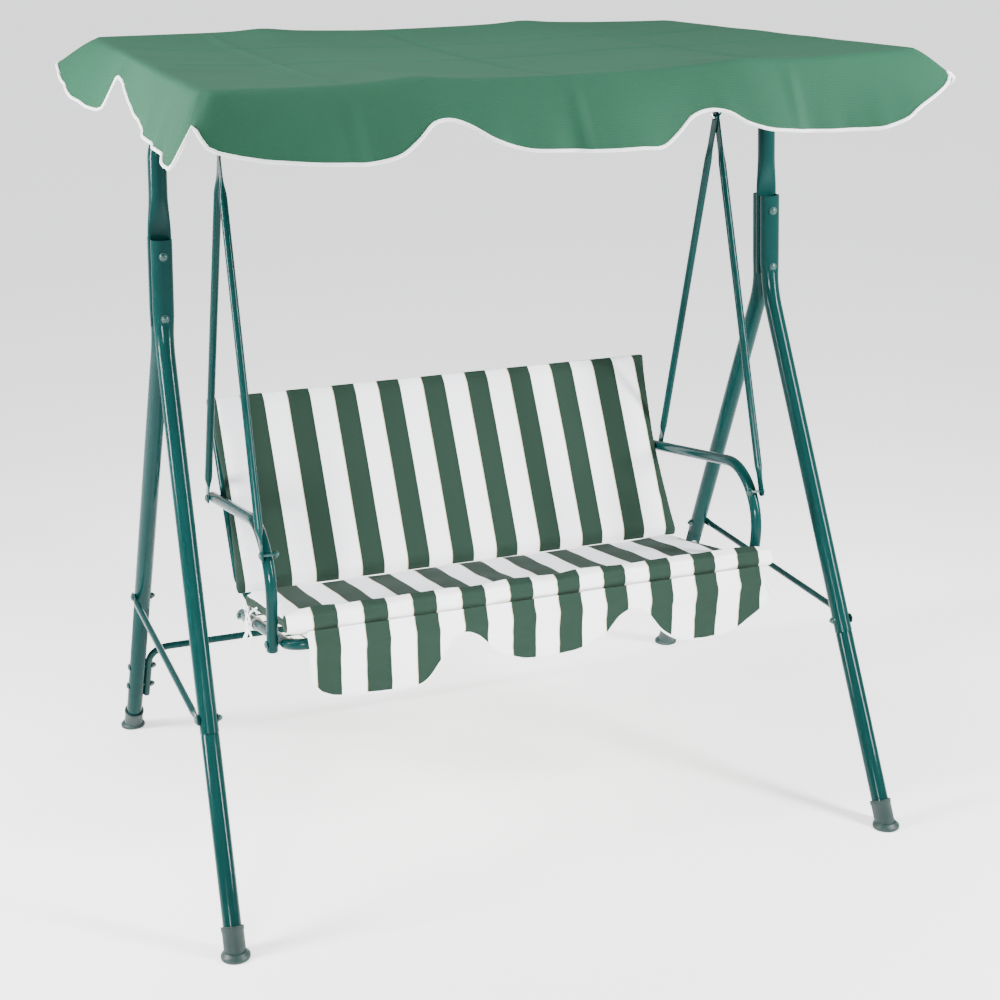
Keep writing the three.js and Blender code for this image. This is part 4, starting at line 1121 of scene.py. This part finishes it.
def fill_pad(pad, pressure, limit):
    """Blows a cover up as cloth; no point of it moves further than the limit."""
    modify(pad, "REMESH", mode="VOXEL", voxel_size=0.006)
    start = read_points(pad)
    make_active(pad)
    cloth = pad.modifiers.new("filling", "CLOTH")
    cloth.settings.quality = 5
    cloth.settings.mass = 0.2
    cloth.settings.tension_stiffness = 30
    cloth.settings.compression_stiffness = 30
    cloth.settings.use_pressure = True
    cloth.settings.uniform_pressure_force = pressure
    cloth.settings.effector_weights.gravity = 0
    cloth.collision_settings.use_collision = False
    scene = bpy.context.scene
    for number in range(1, 21):
        scene.frame_set(number)
    filled = pad.evaluated_get(bpy.context.evaluated_depsgraph_get())
    end = read_points(filled)
    pad.modifiers.remove(cloth)
    scene.frame_set(1)
    move = end - start
    reach = np.linalg.norm(move, axis=1, keepdims=True)
    write_points(pad, start + move * np.minimum(1, limit / np.maximum(reach, 1e-9)))
    modify(pad, "SMOOTH", factor=0.5, iterations=3)
    return pad


def seat_profile():
    """The seat pad from its rear edge forwards: thin behind, with a roll sewn in at the front."""
    top = [(131, 434), (60, 448), (-40, 468), (-140, 489), (-205, 503), (-238, 517), (-262, 535),
           (-280, 541), (-292, 534), (-294, 518), (-286, 507)]
    bottom = [(-262, 496), (-150, 470), (0, 437), (120, 412)]
    return top + bottom


def shape_seat(points):
    x, y, z = points.T
    # The roll runs on past the seat, in front of the armrests. A fold runs along its face, and
    # the cover is gathered a little behind it.
    before_arms = smooth_step(-0.246, -0.262, y)
    right, left = smooth_step(0.40, 0.49, x), smooth_step(-0.40, -0.48, x)
    x = x + before_arms * (0.024 * right - 0.012 * left)
    middle = 0.5265 + 0.002 * ripple(x, x * 0, 6, 4.0)
    face = smooth_step(-0.270, -0.284, y)
    y = y + 0.0065 * np.exp(-(((z - middle) / 0.0045) ** 2)) * face
    gather = ripple(x, y * 0.35, 19, 9.0)
    behind = np.exp(-(((y + 0.225) / 0.040) ** 2)) * (z > 0.485)
    soft = ripple(x, y, 9, 6.0)
    z = z + 0.0050 * gather * behind + 0.0030 * soft * (z > 0.43)
    pucker = ripple(x, z, 24, 2.0) * 0.0035 * face
    return np.stack([x, y + pucker, z], 1)


def build_seat_cushion():
    pad = fill_pad(closed_profile(seat_profile(), -0.484, 0.497, 60), 4.0, 0.007)
    write_points(pad, shape_seat(read_points(pad)))
    modify(pad, "SUBSURF", levels=1, render_levels=1)
    dress(pad, "seat_pad", stripes, "seat", ["seat_cushion"], 80)


def back_profile():
    rear = BACK_TUBE / 2 + CUSHION_REST
    outline = []
    for z, h in ((424, 0), (520, 0), (650, 0), (786, 0), (799, 6), (793, 15), (650, 17), (520, 17),
                 (428, 16), (414, 8)):
        y, height = back_point(z * MM)
        at = Vector((0, y, height)) - ACROSS_BACK * (rear + 0.003 + h * MM)
        outline.append((at.y / MM, at.z / MM))
    return outline


def shape_back(points):
    """The sides pull in between the corners, and stay clear of the armrests."""
    x, y, z = points.T
    side = np.sign(x)
    near = smooth_step(0.40, 0.49, np.abs(x))
    pull = 0.007 * np.sin(np.clip((z - 0.43) / 0.36, 0, 1) * math.pi) ** 2
    x = x - side * near * pull
    soft = ripple(x, z, 7, 1.0) * 0.0018
    edge = ripple(x, z, 28, 7.0) * 0.0010 * np.maximum(near, smooth_step(0.75, 0.79, z))
    beside_arm = smooth_step(0.045, 0.028, np.abs(z - 0.614)) * smooth_step(0.19, 0.21, y)
    x = x - side * beside_arm * np.maximum(0, np.abs(x) - 0.4905)
    return np.stack([x, y + soft + edge, z], 1)


def build_back_cushion():
    pad = fill_pad(closed_profile(back_profile(), -0.497, 0.508, 60), 4.0, 0.008)
    write_points(pad, shape_back(read_points(pad)))
    modify(pad, "SUBSURF", levels=1, render_levels=1)
    dress(pad, "back_pad", stripes, "seat", ["back_cushion"], 80)


# The skirt's hem: how far it hangs below its seam, along the bench.
SKIRT_DROP = [(-450, 92), (-440, 112), (-420, 128), (-390, 137), (-340, 139), (-280, 138),
              (-225, 126), (-195, 92), (-172, 56), (-146, 45), (-120, 56), (-88, 88), (-40, 112),
              (30, 120), (90, 114), (140, 92), (172, 62), (208, 46), (234, 62), (262, 98),
              (300, 126), (350, 136), (400, 134), (440, 122), (468, 98), (486, 70)]
SKIRT_TOP, SKIRT_SEAM_Y = 0.505, -0.289


def build_skirt():
    low, high = SKIRT_DROP[0][0] * MM, SKIRT_DROP[-1][0] * MM
    deselect()
    bpy.ops.mesh.primitive_grid_add(x_subdivisions=230, y_subdivisions=36, size=1)
    skirt = bpy.context.object
    points = read_points(skirt)
    x = low + (high - low) * (points[:, 0] + 0.5)
    down = 0.5 - points[:, 1]
    drop = smooth_through(SKIRT_DROP, x) * MM
    hang = drop * down
    belly = np.sin(np.clip((hang - 0.020) / 0.09, 0, 1) * math.pi)
    bulge = 0.018 * belly * smooth_step(0.38, high, x)
    billow = 0.013 * smooth_step(0, 0.034, hang) - 0.004 * smooth_step(0.034, 0.060, hang)
    wave = ripple(x, hang * 0.4, 7, 3.0) * 0.011 * smooth_step(0.02, 0.13, hang)
    gather = ripple(x, hang * 0.4, 22, 1.0) * 0.005 * np.exp(-((hang - 0.045) / 0.035) ** 2)
    fold = ripple(x * 0.25, hang, 55, 5.0) * 0.0022 * smooth_step(0.004, 0.02, hang)
    pucker = ripple(x, hang * 0.4, 38, 8.0) * 0.0040 * down**5
    y = SKIRT_SEAM_Y - billow + (wave + gather) + fold + pucker
    write_points(skirt, np.stack([x + bulge, y, SKIRT_TOP - hang], 1))
    make_active(skirt)
    bpy.ops.object.mode_set(mode="EDIT")
    close_up()
    binding = edge_binding(skirt, 2.3 * MM, lambda a, b: min(a.z, b.z) < SKIRT_TOP - 0.5 * MM)
    modify(skirt, "SOLIDIFY", thickness=1.4 * MM, offset=0.0)
    dress(skirt, "cushion_skirt_cloth", stripes, "seat", ["cushion_skirt"],
          60)
    dress(binding, "cushion_skirt_binding", tape, "seat", smooth=60)


def ribbon(path, across, width=0.011):
    """A flat ribbon that follows a path; across is the direction of its width."""
    deselect()
    bpy.ops.mesh.primitive_grid_add(x_subdivisions=len(path) - 1, y_subdivisions=1, size=1)
    strip = bpy.context.object
    order = np.argsort(read_points(strip)[:, 0], kind="stable").reshape(-1, 2)
    points = read_points(strip)
    for pair, at in zip(order, path):
        for number, side in zip(pair, (-0.5, 0.5)):
            points[number] = Vector(at) + Vector(across) * side * width
    write_points(strip, points)
    return strip


def curl(points, steps=8):
    """A smooth path through a few points."""
    path = [Vector(p) for p in points]
    ends = [path[0], *path, path[-1]]
    made = []
    for a, b, c, d in zip(ends, ends[1:], ends[2:], ends[3:]):
        for k in range(steps):
            t = k / steps
            made.append(0.5 * (2 * b + (c - a) * t + (2 * a - 5 * b + 4 * c - d) * t**2
                               + (3 * b - a - 3 * c + d) * t**3))
    return [*made, path[-1]]


def build_ties():
    """White ribbons tie the seat pad's rear corners to the seat frame, each in a small bow."""
    for side, s in SIDES.items():
        y, z = seat_point(0.70)
        r = SEAT_TUBE / 2 + 1.2 * MM

        def at(out, along, up):
            return Vector((s * (SEAT_X + out), y + along, z + up))

        round_tube = [at(r * math.sin(a), 0, r * math.cos(a)) for a in
                      (math.radians(15 * k) for k in range(-3, 22))]
        knot = at(r + 3 * MM, 0, 0.016)
        strips = [
            ribbon(curl([at(-0.002, 0, 0.034), at(r, 0, 0.026), knot]), Y),
            ribbon(round_tube, Y),
            ribbon(curl([knot, at(r + 0.008, 0.012, 0.034), at(r + 0.007, 0.030, 0.030),
                         at(r + 0.004, 0.026, 0.012), knot]), (0, 0.5, 0.87)),
            ribbon(curl([knot, at(r + 0.009, -0.012, 0.030), at(r + 0.008, -0.028, 0.020),
                         at(r + 0.004, -0.022, 0.006), knot]), (0, -0.4, 0.9)),
            ribbon(curl([knot, at(r + 0.007, 0.014, 0.002), at(r + 0.003, 0.024, -0.022),
                         at(r + 0.008, 0.036, -0.044)]), (0.2 * s, 0.9, 0.3)),
            ribbon(curl([knot, at(r + 0.009, -0.006, 0.000), at(r + 0.004, -0.014, -0.020),
                         at(r + 0.010, -0.020, -0.034)]), (0.2 * s, 0.95, -0.2)),
            ribbon(curl([knot + Z * 6 * MM, at(r + 0.010, 0, 0.016), knot - Z * 6 * MM], 5), Y,
                   0.012),
        ]
        tie = join_pieces(strips)
        modify(tie, "SOLIDIFY", thickness=0.7 * MM, offset=0.0)
        dress(tie, f"seat_tie_{side}", tape, "seat", smooth=60)


add_camera()
add_studio()
enamel = enamelled_steel()
zinc = zinc_plate()
painted = painted_nut()
plastic = moulded_polyethylene()
tape = white_tape()
stripes = striped_cotton()
build_side_frames()
build_crossbar()
build_beam()
build_canopy_frame()
build_bench_frame()
build_canopy_cloth()
build_seat_cushion()
build_back_cushion()
build_skirt()
build_ties()
